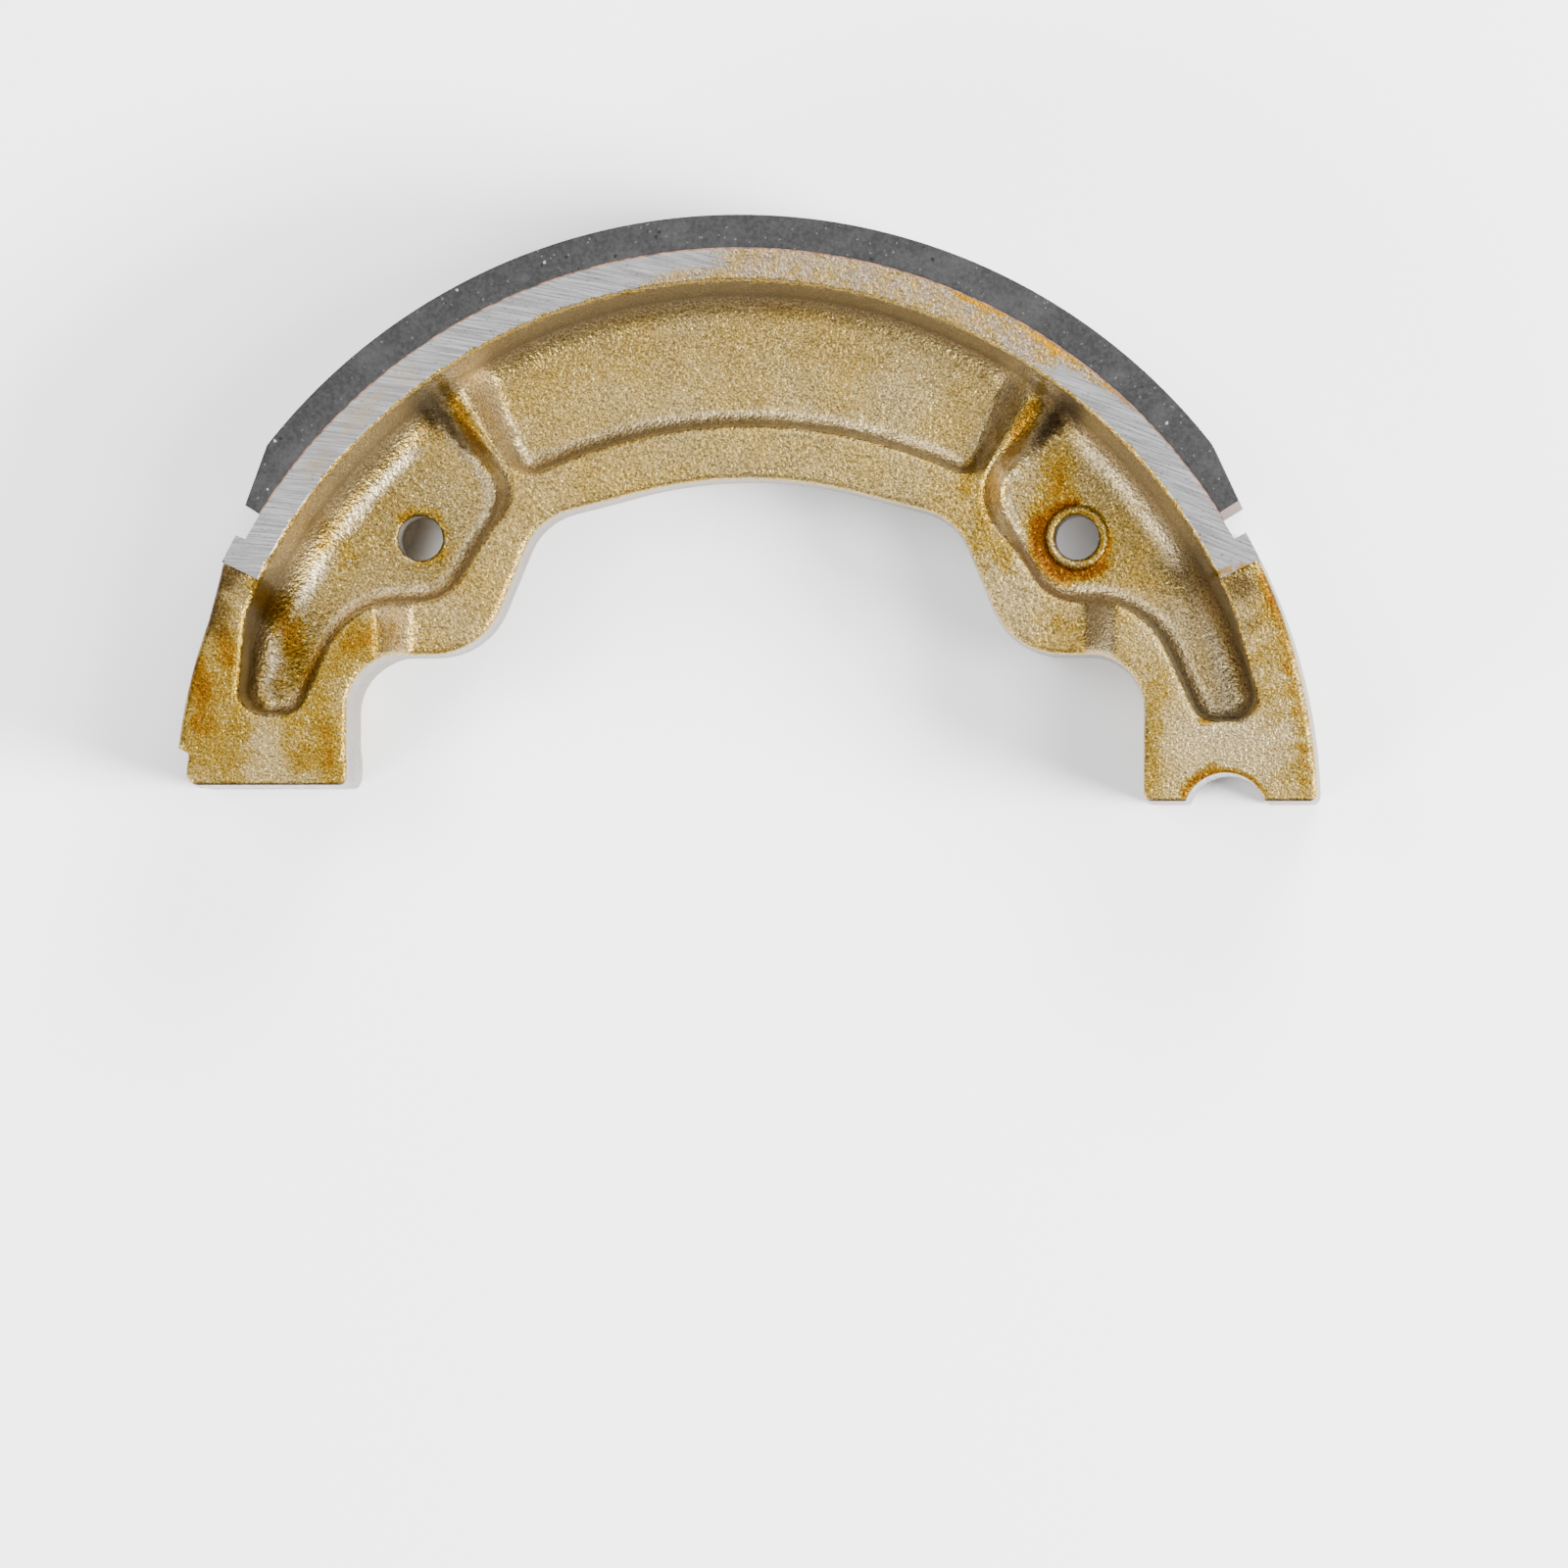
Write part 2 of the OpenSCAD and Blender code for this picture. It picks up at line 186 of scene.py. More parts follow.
def corner(before, p, after, r, step=9):
    """The points of a corner at p between its neighbours, rounded to radius r."""
    u = (before - p) / np.linalg.norm(before - p)
    v = (after - p) / np.linalg.norm(after - p)
    half = math.acos(float(u @ v)) / 2
    centre = p + (u + v) / np.linalg.norm(u + v) * r / math.sin(half)
    turn = math.pi - 2 * half
    n = max(2, math.ceil(math.degrees(turn) / step))
    start = p + u * r / math.tan(half) - centre
    side = -1 if u[0] * v[1] - u[1] * v[0] > 0 else 1
    points = []
    for i in range(n + 1):
        c, s = math.cos(side * turn * i / n), math.sin(side * turn * i / n)
        points.append(centre + np.array([start[0] * c - start[1] * s, start[0] * s + start[1] * c]))
    return points


def rounded(path, closed=True):
    """Points of a path of (point, rounding)."""
    points = []
    last = len(path) - 1
    for i, (p, r) in enumerate(path):
        if r == 0 or (not closed and i in (0, last)):
            points.append(np.asarray(p, float))
        else:
            points += corner(np.asarray(path[i - 1][0], float), np.asarray(p, float),
                             np.asarray(path[(i + 1) % len(path)][0], float), r)
    return points


def sharp(points):
    return [(p, 0) for p in points]


def mirrored(path):
    return [(np.array([-p[0], p[1]]), r) for p, r in reversed(path)]


def meet(p, u, q, v):
    """Where the line through p along u meets the line through q along v."""
    return p + u * ((q[0] - p[0]) * v[1] - (q[1] - p[1]) * v[0]) / (u[0] * v[1] - u[1] * v[0])


def divided(points, gap=GAP, closed=True):
    """The same outline with no stretch longer than gap."""
    points = np.asarray(points, float)
    ends = np.roll(points, -1, 0) if closed else points[1:]
    result = []
    for a, b in zip(points, ends):
        n = max(1, math.ceil(np.linalg.norm(b - a) / gap))
        result += [a + (b - a) * i / n for i in range(n)]
    if not closed:
        result.append(points[-1])
    return np.array(result)


def bow(centre_y, r, end, count):
    """An arc round a point on the Y axis, from past its middle to one side, as a path with no rounding."""
    return [(np.array([r * math.sin(end * i / count), centre_y + r * math.cos(end * i / count)]), 0)
            for i in range(1, count + 1)]


def half_arch():
    curve = bow(CROWN_Y - CROWN_R, CROWN_R, math.asin(CROWN_X / CROWN_R), 8)
    return curve + [(SHOULDER, 7), (KNEE, 8), (np.array([INNER_X, KNEE[1]]), 6)]


def perimeter():
    """The casting's outline, counter-clockwise, with the half-round seat of the anchor pin."""
    half = math.sqrt(ANCHOR_R ** 2 - ANCHOR_GAP ** 2)
    notch_end = math.degrees(math.atan2(half, ANCHOR_GAP))
    notch = [ANCHOR + p for p in arc(ANCHOR_R, -notch_end, notch_end, 6)]
    foot_top = CAM_GAP + FOOT_H
    outside = [(np.array([INNER_X + WEB_SHIFT, ANCHOR_GAP]), CORNER_R)] + sharp(notch)
    outside += [(np.array([math.sqrt(BACK_R ** 2 - ANCHOR_GAP ** 2), ANCHOR_GAP]), CORNER_R)]
    outside += sharp(arc(BACK_R, 84, RIM_END))
    outside += sharp(arc(BACK_R + STOP_STEP, RIM_END, RIM_END - STOP_SPAN))
    outside += sharp(arc(SEAT_R, RIM_END - STOP_SPAN, STOP_SPAN - RIM_END))
    outside += sharp(arc(CAM_STOP_R, STOP_SPAN - RIM_END, -RIM_END))
    outside += sharp([ray(-RIM_END, CAM_STOP_R - STOP_STEP)])
    outside += sharp(arc(SEAT_R, -RIM_END - 6, -math.degrees(math.acos(foot_top / SEAT_R))))
    outside += [(np.array([-math.sqrt(FOOT_R ** 2 - foot_top ** 2), foot_top - STEP_SLOPE]), 0.3)]
    outside += [(np.array([-math.sqrt(FOOT_R ** 2 - CAM_GAP ** 2), CAM_GAP]), FOOT_CORNER_R)]
    outside += [(np.array([WEB_SHIFT - INNER_X, CAM_GAP]), CORNER_R)]
    arch = mirrored(half_arch()) + [(np.array([0, CROWN_Y]), 0)] + half_arch()
    arch = [(p + np.array([WEB_SHIFT, 0]), r) for p, r in arch]
    return rounded(outside + arch)


MID_FLOOR_R = CROWN_R + BAND_W
MID_FLOOR_Y = CROWN_Y - CROWN_R
CUT_R = RIM_IN + 1.2
RIB_FOOT = ray(RIB_ANGLE, CROWN_Y + BAND_W + RIB_FOOT_RISE)


def mid_pocket_path():
    """The wall of the middle pocket along the band and the two ribs, open at the rim."""
    foot_x = RIB_FOOT[0] - RIB_FOOT_W * math.cos(math.radians(RIB_ANGLE))
    head = ray(RIB_ANGLE - math.degrees(RIB_HEAD_W / RIM_IN), CUT_R)
    curve = bow(MID_FLOOR_Y, MID_FLOOR_R, math.asin((foot_x - MID_CORNER_ROOM) / MID_FLOOR_R), 20)
    foot = np.array([foot_x, MID_FLOOR_Y + math.sqrt(MID_FLOOR_R ** 2 - foot_x ** 2)])
    half = curve + [(foot, MID_CORNER_R), (head, 0)]
    middle = [(np.array([0, MID_FLOOR_Y + MID_FLOOR_R]), 0)]
    return rounded(mirrored(half) + middle + half, closed=False)


def tail_corner(side):
    """The outer corner of the side pocket's end, as if it were at the anchor end."""
    return np.array([math.sqrt(RIM_IN ** 2 - TAIL_Y[side] ** 2) - TAIL_IN[side], TAIL_Y[side]])


def side_pocket_paths(side):
    """The side pocket's wall along the rib and the band, and its outer wall past the rim's end."""
    flank_line = KNEE - SHOULDER
    out = np.array([-flank_line[1], flank_line[0]]) / np.linalg.norm(flank_line) * BAND_W
    low = meet(SHOULDER + out, flank_line, np.array([0, KNEE[1] + BAND_W]), np.array([1.0, 0]))
    tail = tail_corner(side)
    tail_in = tail - np.array([TAIL_W, 0])
    turn = corner(tail_in, tail, ray(TAIL_END, RIM_IN), TAIL_R)
    half = len(turn) // 2
    band = rounded([(ray(RIB_ANGLE, CUT_R), 0), (RIB_FOOT, RIB_CORNER_R), (low, RIB_CORNER_R),
                    (np.array([INNER_X, KNEE[1] + BAND_W]), ELBOW_R), (tail_in, TAIL_R),
                    (turn[0], 0)], closed=False)
    return band + turn[1:half + 1], turn[half:]


def on_side(path, side):
    """A path of the web's pattern on one side: 1 is the anchor end, -1 the cam end."""
    return np.asarray(path, float) * np.array([side, 1]) + np.array([WEB_SHIFT, 0])


def side_walls():
    """The walls of the two side pockets along the band, and the wall along the rim that closes all pockets."""
    bands, ends = {}, {}
    for side in (1, -1):
        band, end = side_pocket_paths(side)
        bands[side] = divided(on_side(band, side), closed=False)
        ends[side] = on_side(end, side)
    outer = np.concatenate([ends[1], arc(RIM_IN, TAIL_END, -TAIL_END), ends[-1][::-1]])
    return bands, divided(outer, closed=False)


def pocket_areas():
    """Areas that hold the pockets and reach past the rim: only what lies inside INSIDE_WALL is pocket."""
    areas = [np.concatenate([MID_PATH, [ray(25, 70), ray(-25, 70)]])]
    for side in (1, -1):
        far = on_side([ray(RIB_ANGLE, 75), ray(90, 75)], side)
        areas.append(np.concatenate([SIDE_PATHS[side], far[::-1]]))
    return areas


MID_PATH = divided(on_side(mid_pocket_path(), 1), closed=False)
SIDE_PATHS, OUTER_PATH = side_walls()
BAND_PATHS = [MID_PATH, SIDE_PATHS[1], SIDE_PATHS[-1]]
POCKETS = pocket_areas()
HOLES = [on_side([SPRING], side)[0] for side in (1, -1)]
PERIMETER = divided(perimeter())

# The area inside the outer wall, closed below by points clear of the side pockets' corners
INSIDE_WALL = np.concatenate([OUTER_PATH, [OUTER_PATH[-1] + [-4, -5], [-40, -12], [40, -12],
                                           OUTER_PATH[0] + [4, -5]]])


# Distances

def distance(points, path, closed=False):
    """Distance of each point to a path of straight pieces."""
    a = path if closed else path[:-1]
    b = np.roll(path, -1, 0) if closed else path[1:]
    along = b - a
    length = np.maximum((along ** 2).sum(1), 1e-12)
    result = np.empty(len(points))
    for i in range(0, len(points), 1500):
        to = points[i:i + 1500, None] - a[None]
        t = np.clip((to * along).sum(2) / length, 0, 1)
        result[i:i + 1500] = np.sqrt(((to - t[..., None] * along) ** 2).sum(2)).min(1)
    return result


def within(points, polygon):
    """Which points lie inside a closed polygon."""
    x, y = points[:, :1], points[:, 1:]
    a, b = polygon, np.roll(polygon, -1, 0)
    result = np.zeros(len(points), bool)
    for i in range(0, len(points), 4000):
        px, py = x[i:i + 4000], y[i:i + 4000]
        crosses = (a[:, 1] > py) != (b[:, 1] > py)
        rise = np.where(b[:, 1] == a[:, 1], 1e-12, b[:, 1] - a[:, 1])
        at = a[:, 0] + (py - a[:, 1]) / rise * (b[:, 0] - a[:, 0])
        result[i:i + 4000] = (crosses & (px < at)).sum(1) % 2 == 1
    return result


class Zones:
    """Where points of a side face lie: their distances to its lines and the areas that hold them."""

    def __init__(self, points):
        self.points = points
        self.r = np.hypot(*points.T)
        self.angle = np.abs(np.degrees(np.arctan2(points[:, 0], points[:, 1])))
        self.d_mid = distance(points, MID_PATH)
        self.d_side = np.minimum(distance(points, SIDE_PATHS[1]), distance(points, SIDE_PATHS[-1]))
        self.d_outer = distance(points, OUTER_PATH)
        self.d_edge = distance(points, PERIMETER, closed=True)
        self.in_span = self.angle <= RIM_END
        self.in_wall = within(points, INSIDE_WALL)
        self.in_pocket = np.logical_or.reduce([within(points, area) for area in POCKETS]) & self.in_wall
        self.in_side = self.in_pocket & (self.d_side < self.d_mid)
        self.in_mid = self.in_pocket & ~self.in_side


# Heights of the casting's side faces over the middle of its width

def smooth(t):
    """A soft step from 0 to 1."""
    t = np.clip(t, 0, 1)
    return t * t * (3 - 2 * t)


def steeper(t):
    """A soft step from 0 to 1 that is steeper in the middle than smooth."""
    t = np.clip(t, 0, 1)
    return t ** 3 * (10 - 15 * t + 6 * t * t)


def rounding(d, r):
    """How far an edge rounded to radius r has dropped at distance d from it."""
    inside = np.clip(r - d, 0, r)
    return r - np.sqrt(np.maximum(r * r - inside ** 2, 0))


def wall(d, top, r, draft):
    """Height over the floor at distance d into a pocket: a drafted wall with a fillet at its foot."""
    r = np.minimum(r, top * 0.94)
    return np.where(d < draft, top - (top - r) * d / draft, rounding(d - draft, r))


def flank(d, top, soft, out, reach, shape):
    """Height over the floor, as a share of top, at distance d past a pocket's wall line: a cast wall with
    a rounded edge or, as far as soft goes, a slope from out before the line to reach past it."""
    hard = np.where(d > 0, wall(np.maximum(d, 0), top - POCKET_EDGE_R, POCKET_FILLET, WALL_DRAFT),
                    top - rounding(np.maximum(-d, 0), POCKET_EDGE_R)) / top
    return hard + (1 - shape((d + out) / (out + reach)) - hard) * soft


def waviness(p):
    """The slight unevenness of a cast face."""
    x, y = p[:, 0], p[:, 1]
    return 0.018 * (np.sin(0.83 * x + 1.7 * np.sin(0.41 * y)) + np.sin(1.13 * y + 0.7 + 1.3 * np.sin(0.53 * x))
                    + 0.6 * np.sin(1.9 * x - 1.5 * y + 0.4))


def nibbled(p):
    """The slight raggedness of a cast edge that a cutter has passed."""
    x, y = p[:, 0], p[:, 1]
    return 0.022 * (np.sin(2.3 * x + 3.1 * np.sin(1.9 * y)) + np.sin(4.3 * y + 2.9 * np.sin(1.3 * x + 0.5))
                    + np.sin(5.1 * x - 3.9 * y + 2.3 * np.sin(0.7 * x)))


def pads():
    """The ejector pads of the lower side: one at each rib's head and one at each side pocket's end."""
    return [on_side([place], side)[0] for side in (1, -1)
            for place in (ray(PAD_ANGLE, RIM_IN - PAD_IN), tail_corner(side) - np.array([TAIL_W / 2, 0]))]


def web_height(zones):
    """Height over the floor of the band, the blocks and the ribs, with their flanks into the pockets."""
    r, angle, d_side, d_mid = zones.r, zones.angle, zones.d_side, zones.d_mid
    off_mid = np.abs(zones.points[:, 0] - WEB_SHIFT)
    top = BAND_H + (BLOCK_H - BAND_H) * smooth((off_mid - RAMP_X) / RAMP_L) - FLOOR_H
    up_rib = smooth((r - 46) / 9)
    near_rib = smooth((50 - angle) / 6)
    side_share = flank(np.where(zones.in_side, d_side, -d_side), top, smooth((r - 41) / 3) * near_rib,
                       FLANK_OUT, FLANK_IN + FLANK_HEAD * up_rib, steeper)
    mid_share = flank(np.where(zones.in_mid, d_mid, -d_mid), top,
                      smooth((r - 44) / 3) * smooth((angle - 25) / 5),
                      MID_FLANK_OUT + MID_FLANK_OUT_HEAD * up_rib,
                      MID_FLANK_IN + MID_FLANK_HEAD * up_rib, smooth)
    head = np.exp(-np.maximum(zones.d_outer - 0.8, 0) / 1.1) * near_rib * smooth((angle - 24) / 5)
    off_rib = np.where(zones.in_side, d_side / 1.8, np.where(zones.in_mid, d_mid / 1.4, 0))
    return top * side_share * mid_share + HEAD_RISE * head * np.exp(-off_rib ** 2)


def wall_height(zones, web, top, edge):
    """Height over the floor along the outer wall, whose fillet is wide at the rim, less so beside the ribs
    and narrow in the side pockets' ends."""
    into_tail = smooth((zones.angle - RIM_END + 4) / 15)
    foot_r = RIM_FILLET + (SIDE_FILLET - RIM_FILLET) * smooth((zones.angle - 38) / 7)
    foot_r = foot_r + (TAIL_FILLET - foot_r) * into_tail
    foot_r = foot_r + (RIB_FILLET - foot_r) * np.clip(web / 4, 0, 1)
    draft = RIM_DRAFT + (TAIL_DRAFT - RIM_DRAFT) * into_tail
    return web + wall(zones.d_outer, np.maximum(top - edge - web, 0.05), foot_r, draft)


def with_details(zones, h, upper):
    """Heights with the holes' edges, the raised lip of the upper side and the pads of the lower one."""
    d_holes = [np.hypot(*(zones.points - hole).T) - SPRING_R for hole in HOLES]
    if upper:
        h = h + np.where(zones.in_pocket, LIP_H * smooth((LIP_W + 0.35 - d_holes[0]) / 0.7), 0)
    h = h - np.where(zones.in_pocket, rounding(np.maximum(np.minimum(*d_holes), 0), HOLE_EDGE_R), 0)
    if not upper:
        for pad in pads():
            d_pad = np.hypot(*(zones.points - pad).T) - PAD_R
            raised = np.maximum(h, (BLOCK_H - FLOOR_H) * smooth(-d_pad / PAD_SLOPE + 1))
            h = np.where(d_pad < PAD_SLOPE, raised, h)
    return h


def heights(zones, upper):
    """Height of one side face, and 1 where that face is machined."""
    p, in_span = zones.points, zones.in_span
    past_end = np.radians(zones.angle - RIM_END) * zones.r
    slope = (MID_Z - 0.1 - BLOCK_H) * np.clip(1 - past_end / SLOPE_L, 0, 1) ** 2
    top = np.where(in_span, RIM_CAST_H, BLOCK_H + slope) - FLOOR_H
    edge = np.where(in_span, RIM_EDGE_R, POCKET_EDGE_R)
    web = web_height(zones)
    walled = np.where(zones.in_pocket | in_span, wall_height(zones, web, top, edge), web)
    outside = top - rounding(np.maximum(zones.d_outer + nibbled(p) * in_span, 0), edge)
    h = np.where(zones.in_wall, walled, outside)

    at_foot = (p[:, 1] < CAM_GAP + 2.5) & (np.abs(p[:, 0]) > INNER_X - 1)
    edge_r = np.where(at_foot, FOOT_EDGE_R, np.where(in_span & (zones.r > RIM_IN), 0.0, EDGE_R))
    h = h - np.where(edge_r > 0, rounding(zones.d_edge, np.maximum(edge_r, 1e-3)), 0)

    in_rim = in_span & ~zones.in_wall
    h = FLOOR_H + with_details(zones, h, upper) + np.where(in_rim, 0, waviness(p))
    machined = in_rim & (h >= MID_Z - 1e-6)
    return np.where(in_rim, np.minimum(h, MID_Z), h), machined.astype(float)


# The casting's mesh

class Net:
    """Points and lines in the plane from which a side face is triangulated."""

    def __init__(self):
        self.points = []
        self.lines = []
        self.count = 0

    def add(self, points, lines):
        self.points.append(np.asarray(points, float))
        self.lines += [(a + self.count, b + self.count) for a, b in lines]
        self.count += len(points)

    def loop(self, points):
        n = len(points)
        self.add(points, [(i, (i + 1) % n) for i in range(n)])

    def chain(self, points, keep):
        """An open line that is broken where keep is false."""
        index = np.cumsum(keep) - 1
        lines = [(index[i], index[i + 1]) for i in range(len(points) - 1) if keep[i] and keep[i + 1]]
        self.add(points[keep], lines)

    def cross(self, line, clear):
        """A line over the whole face, kept where it is clear of the outline."""
        line = divided(line, closed=False)
        self.chain(line, within(line, PERIMETER) & (distance(line, PERIMETER, True) > clear))

    def all_points(self):
        return np.concatenate(self.points)


def spaced(points, least):
    """Which points of a row to keep so that none lies nearer than least to the one kept before."""
    keep = np.zeros(len(points), bool)
    last = None
    for i, p in enumerate(points):
        if last is None or np.hypot(*(p - last)) >= least:
            keep[i] = True
            last = p
    return keep


def left_of(path, closed=True):
    """Unit vectors to the left of a path's direction at each of its points."""
    tangent = np.roll(path, -1, 0) - np.roll(path, 1, 0) if closed else np.gradient(path, axis=0)
    tangent /= np.linalg.norm(tangent, axis=1)[:, None]
    return np.stack([-tangent[:, 1], tangent[:, 0]], 1)


def offset_ring(path, d, closed):
    """The path moved sideways by d, to the left of its direction, and which points are still true to d."""
    moved = path + left_of(path, closed) * d
    true = distance(moved, path, closed) > abs(d) - 0.02
    return moved, true & spaced(moved, 0.16)


def face_rings():
    """Lines beside the edges, walls and fillets: the path, the distance to its left, and if it is closed."""
    rings = [(PERIMETER, EDGE_R * step, True) for step in ROUND_STEPS[1:]]
    for path in BAND_PATHS:
        rings += [(path, POCKET_EDGE_R * step, False) for step in ROUND_STEPS]
        rings += [(path, FLANK_OUT * step, False) for step in (0.75, 1.0)]
        rings += [(path, -d, False) for d in (2.4, 3.1)]
        rings += [(path, -WALL_DRAFT - POCKET_FILLET * step, False) for step in ROUND_STEPS]
    rings += [(OUTER_PATH, -RIM_EDGE_R * step, False) for step in ROUND_STEPS]
    rings += [(OUTER_PATH, -CUT_LINE, False)]
    return rings + [(OUTER_PATH, d, False) for d in RIM_WALL_RINGS]


def side_net(upper):
    """The lines that a side face's edges, walls, fillets, ramps and holes need."""
    net = Net()
    net.loop(PERIMETER)
    for hole in HOLES:
        net.loop(circle(hole, SPRING_R))
    for path, d, closed in face_rings():
        moved, keep = offset_ring(path, d, closed)
        clear = within(moved, PERIMETER)
        if closed:
            moved = np.concatenate([moved, moved[:1]])
            keep, clear = np.append(keep, keep[0]), np.append(clear, clear[0])
        else:
            clear &= distance(moved, PERIMETER, True) > min(RING_CLEAR, 0.9 * abs(d) + 0.01)
        net.chain(moved, keep & clear)
    for side in (1, -1):
        for off in RAMP_X + RAMP_L * np.linspace(0, 1, 8):
            net.cross(on_side([[off, 5], [off, 50]], side), 0.3)
        for past in (-0.03, 0.03, 0.5, 1.1, 1.8, 2.6, SLOPE_L):
            angle = side * (RIM_END + math.degrees(past / RIM_IN))
            net.cross([ray(angle, RIM_IN - 3), ray(angle, BACK_R + 1)], 0.1)
    for i, hole in enumerate(HOLES):
        rings = [HOLE_EDGE_R * step for step in ROUND_STEPS[1:]]
        for d in rings + list(LIP_RINGS if i == 0 and upper else ()):
            net.loop(circle(hole, SPRING_R + d))
    if not upper:
        for pad in pads():
            for d in PAD_RINGS:
                net.loop(circle(pad, PAD_R + d))
    fill(net)
    return net


def fill(net):
    """Adds points between the lines, each clear of the points that are there."""
    taken = {}
    for p in net.all_points():
        taken.setdefault((int(p[0] // FILL_CLEAR), int(p[1] // FILL_CLEAR)), []).append(p)
    low, high = PERIMETER.min(0), PERIMETER.max(0)
    grid = []
    for i, y in enumerate(np.arange(low[1], high[1], FILL_GAP * math.sqrt(3) / 2)):
        xs = np.arange(low[0] + (i % 2) * FILL_GAP / 2, high[0], FILL_GAP)
        grid.append(np.stack([xs, np.full(len(xs), y)], 1))
    grid = np.concatenate(grid)
    grid = grid[within(grid, PERIMETER)]
    grid = grid[distance(grid, PERIMETER, True) > 0.4]
    keep = []
    for p in grid:
        i, j = int(p[0] // FILL_CLEAR), int(p[1] // FILL_CLEAR)
        near = [q for a in (-1, 0, 1) for b in (-1, 0, 1) for q in taken.get((i + a, j + b), ())]
        keep.append(all(np.hypot(*(p - q)) > FILL_CLEAR for q in near))
    net.add(grid[np.array(keep)], [])


def side_face(upper):
    """A side face in the plane: points, triangles, heights, masks, and where the net's points went."""
    net = side_net(upper)
    points = net.all_points()
    flat, _, faces, origin, _, _ = delaunay_2d_cdt([Vector(p) for p in points], net.lines, [], 0, 1e-5)
    flat = np.array([tuple(p) for p in flat])
    faces = np.array([f for f in faces if len(f) == 3])
    middle = flat[faces].mean(1)
    inside = within(middle, PERIMETER)
    for hole in HOLES:
        inside &= np.hypot(*(middle - hole).T) > SPRING_R * 0.995
    place = np.full(len(points), -1)
    for i, sources in enumerate(origin):
        place[list(sources)] = i
    zones = Zones(flat)
    h, machined = heights(zones, upper)
    return flat, faces[inside], h, {"machined": machined, **side_masks(zones, upper)}, place


def ground_walls(points):
    """Which stretches of the perimeter are machined: the seat, its stops, the cam face and the anchor seat."""
    angle = np.abs(np.degrees(np.arctan2(points[:, 0], points[:, 1])))
    ground = (angle < RIM_END + 0.2) & (np.hypot(*points.T) > RIM_IN)
    ground |= (np.abs(points[:, 1] - CAM_GAP) < 0.05) & (points[:, 0] < 0)
    return ground | (np.hypot(*(points - ANCHOR).T) < ANCHOR_R + 0.1)


def wall_rows(points, tops, bottoms):
    """Rows of a closed side wall between a top and a bottom rim, with draft to the parting line."""
    normal = -left_of(points)
    ground = ground_walls(points)
    draft = np.where(ground, 0, 0.14)
    rows = []
    for u in WALL_LEVELS:
        z = np.where(u >= 0, u * tops, u * bottoms)
        ridge = np.where(ground, 0, 0.06 * math.exp(-(u / 0.045) ** 2))
        out = draft * (1 - abs(u)) + ridge + lobe(points, z)
        rows.append(np.column_stack([points + normal * out[:, None], z]))
    return rows


def lobe(points, z):
    """The rounded lobe low on the inner side of the cam foot."""
    centre_y = CAM_GAP + LOBE_R
    across = np.clip(np.abs(points[:, 1] - centre_y) / LOBE_R, 0, 1)
    bulge = LOBE_OUT * np.sqrt(1 - across ** 2)
    here = (np.abs(points[:, 0] - (WEB_SHIFT - INNER_X)) < 0.1) & (across < 1)
    return np.where(here, bulge * smooth((LOBE_H - np.abs(z)) / 0.5), 0)


def rim_loops():
    """First point and number of points of the outline and of each hole, in every side net."""
    loops = [(0, len(PERIMETER))]
    for _ in HOLES:
        loops.append((sum(loops[-1]), HOLE_STEPS))
    return loops


def wall_masks(tints, z, skin, ground):
    """Masks of one row of a wall, where the stains and painted shade of the upper edge fade downwards."""
    fade = smooth((z - 7) / 7)
    return {**{name: np.zeros(len(z)) for name in tints}, "skin": np.full(len(z), skin), "machined": ground,
            **{name: tints[name] * fade * 0.7 for name in ("stain", "brown_and_shade")}}


def build_casting():
    """Two side faces, joined by the wall along the outline and by those of the holes."""
    vertices, faces, masks, rims = [], [], [], {}
    count = 0
    loops = rim_loops()
    for upper in (True, False):
        flat, triangles, h, tints, place = side_face(upper)
        vertices.append(np.column_stack([flat, h if upper else -h]))
        faces += [tuple(f) for f in (triangles if upper else triangles[:, ::-1]) + count]
        masks.append(tints)
        rims[upper] = [place[start:start + n] + count for start, n in loops]
        count += len(flat)
    sides = np.concatenate(vertices)
    for i, (upper, lower) in enumerate(zip(rims[True], rims[False])):
        xy, tops, bottoms = sides[upper, :2], sides[upper, 2], -sides[lower, 2]
        if i == 0:
            rows, skin, ground = wall_rows(xy, tops, bottoms), 1.0, ground_walls(xy).astype(float)
        else:
            rows, skin, ground = [np.column_stack([xy, u * tops]) for u in HOLE_LEVELS], 0.6, np.zeros(len(xy))
        tints = side_masks(Zones(xy), True)
        rings = [upper]
        for row in rows:
            vertices.append(row)
            masks.append(wall_masks(tints, row[:, 2], skin, ground))
            rings.append(np.arange(len(row)) + count)
            count += len(row)
        rings.append(lower)
        for a, b in zip(rings[:-1], rings[1:]):
            quads = np.stack([a, b, np.roll(b, -1), np.roll(a, -1)], 1)
            faces += [tuple(q) for q in (quads if i == 0 else quads[:, ::-1])]
    vertices = np.concatenate(vertices)
    vertices[:, 2] += MID_Z
    obj = mesh_object("brake_shoe_casting", vertices * MM, faces)
    set_masks(obj, {name: np.concatenate([mask[name] for mask in masks]) for name in masks[0]})
    mark_sharp(obj, 38)
    return obj


def mesh_object(name, vertices, faces):
    mesh = bpy.data.meshes.new(name)
    mesh.from_pydata([tuple(v) for v in vertices], [], faces)
    mesh.validate()
    mesh.shade_smooth()
    obj = bpy.data.objects.new(name, mesh)
    bpy.context.scene.collection.objects.link(obj)
    return obj


def set_masks(obj, masks):
    for name, values in masks.items():
        layer = obj.data.attributes.new(name, "FLOAT", "POINT")
        layer.data.foreach_set("value", np.asarray(values, np.float32))


def mark_sharp(obj, degrees):
    obj.data.set_sharp_from_angle(angle=math.radians(degrees))


# Marks on the upper side, as the photo shows them: X, Y, two half sizes, turn in degrees and strength.
# The lower side gets those of the first FEWER stains, turned over.

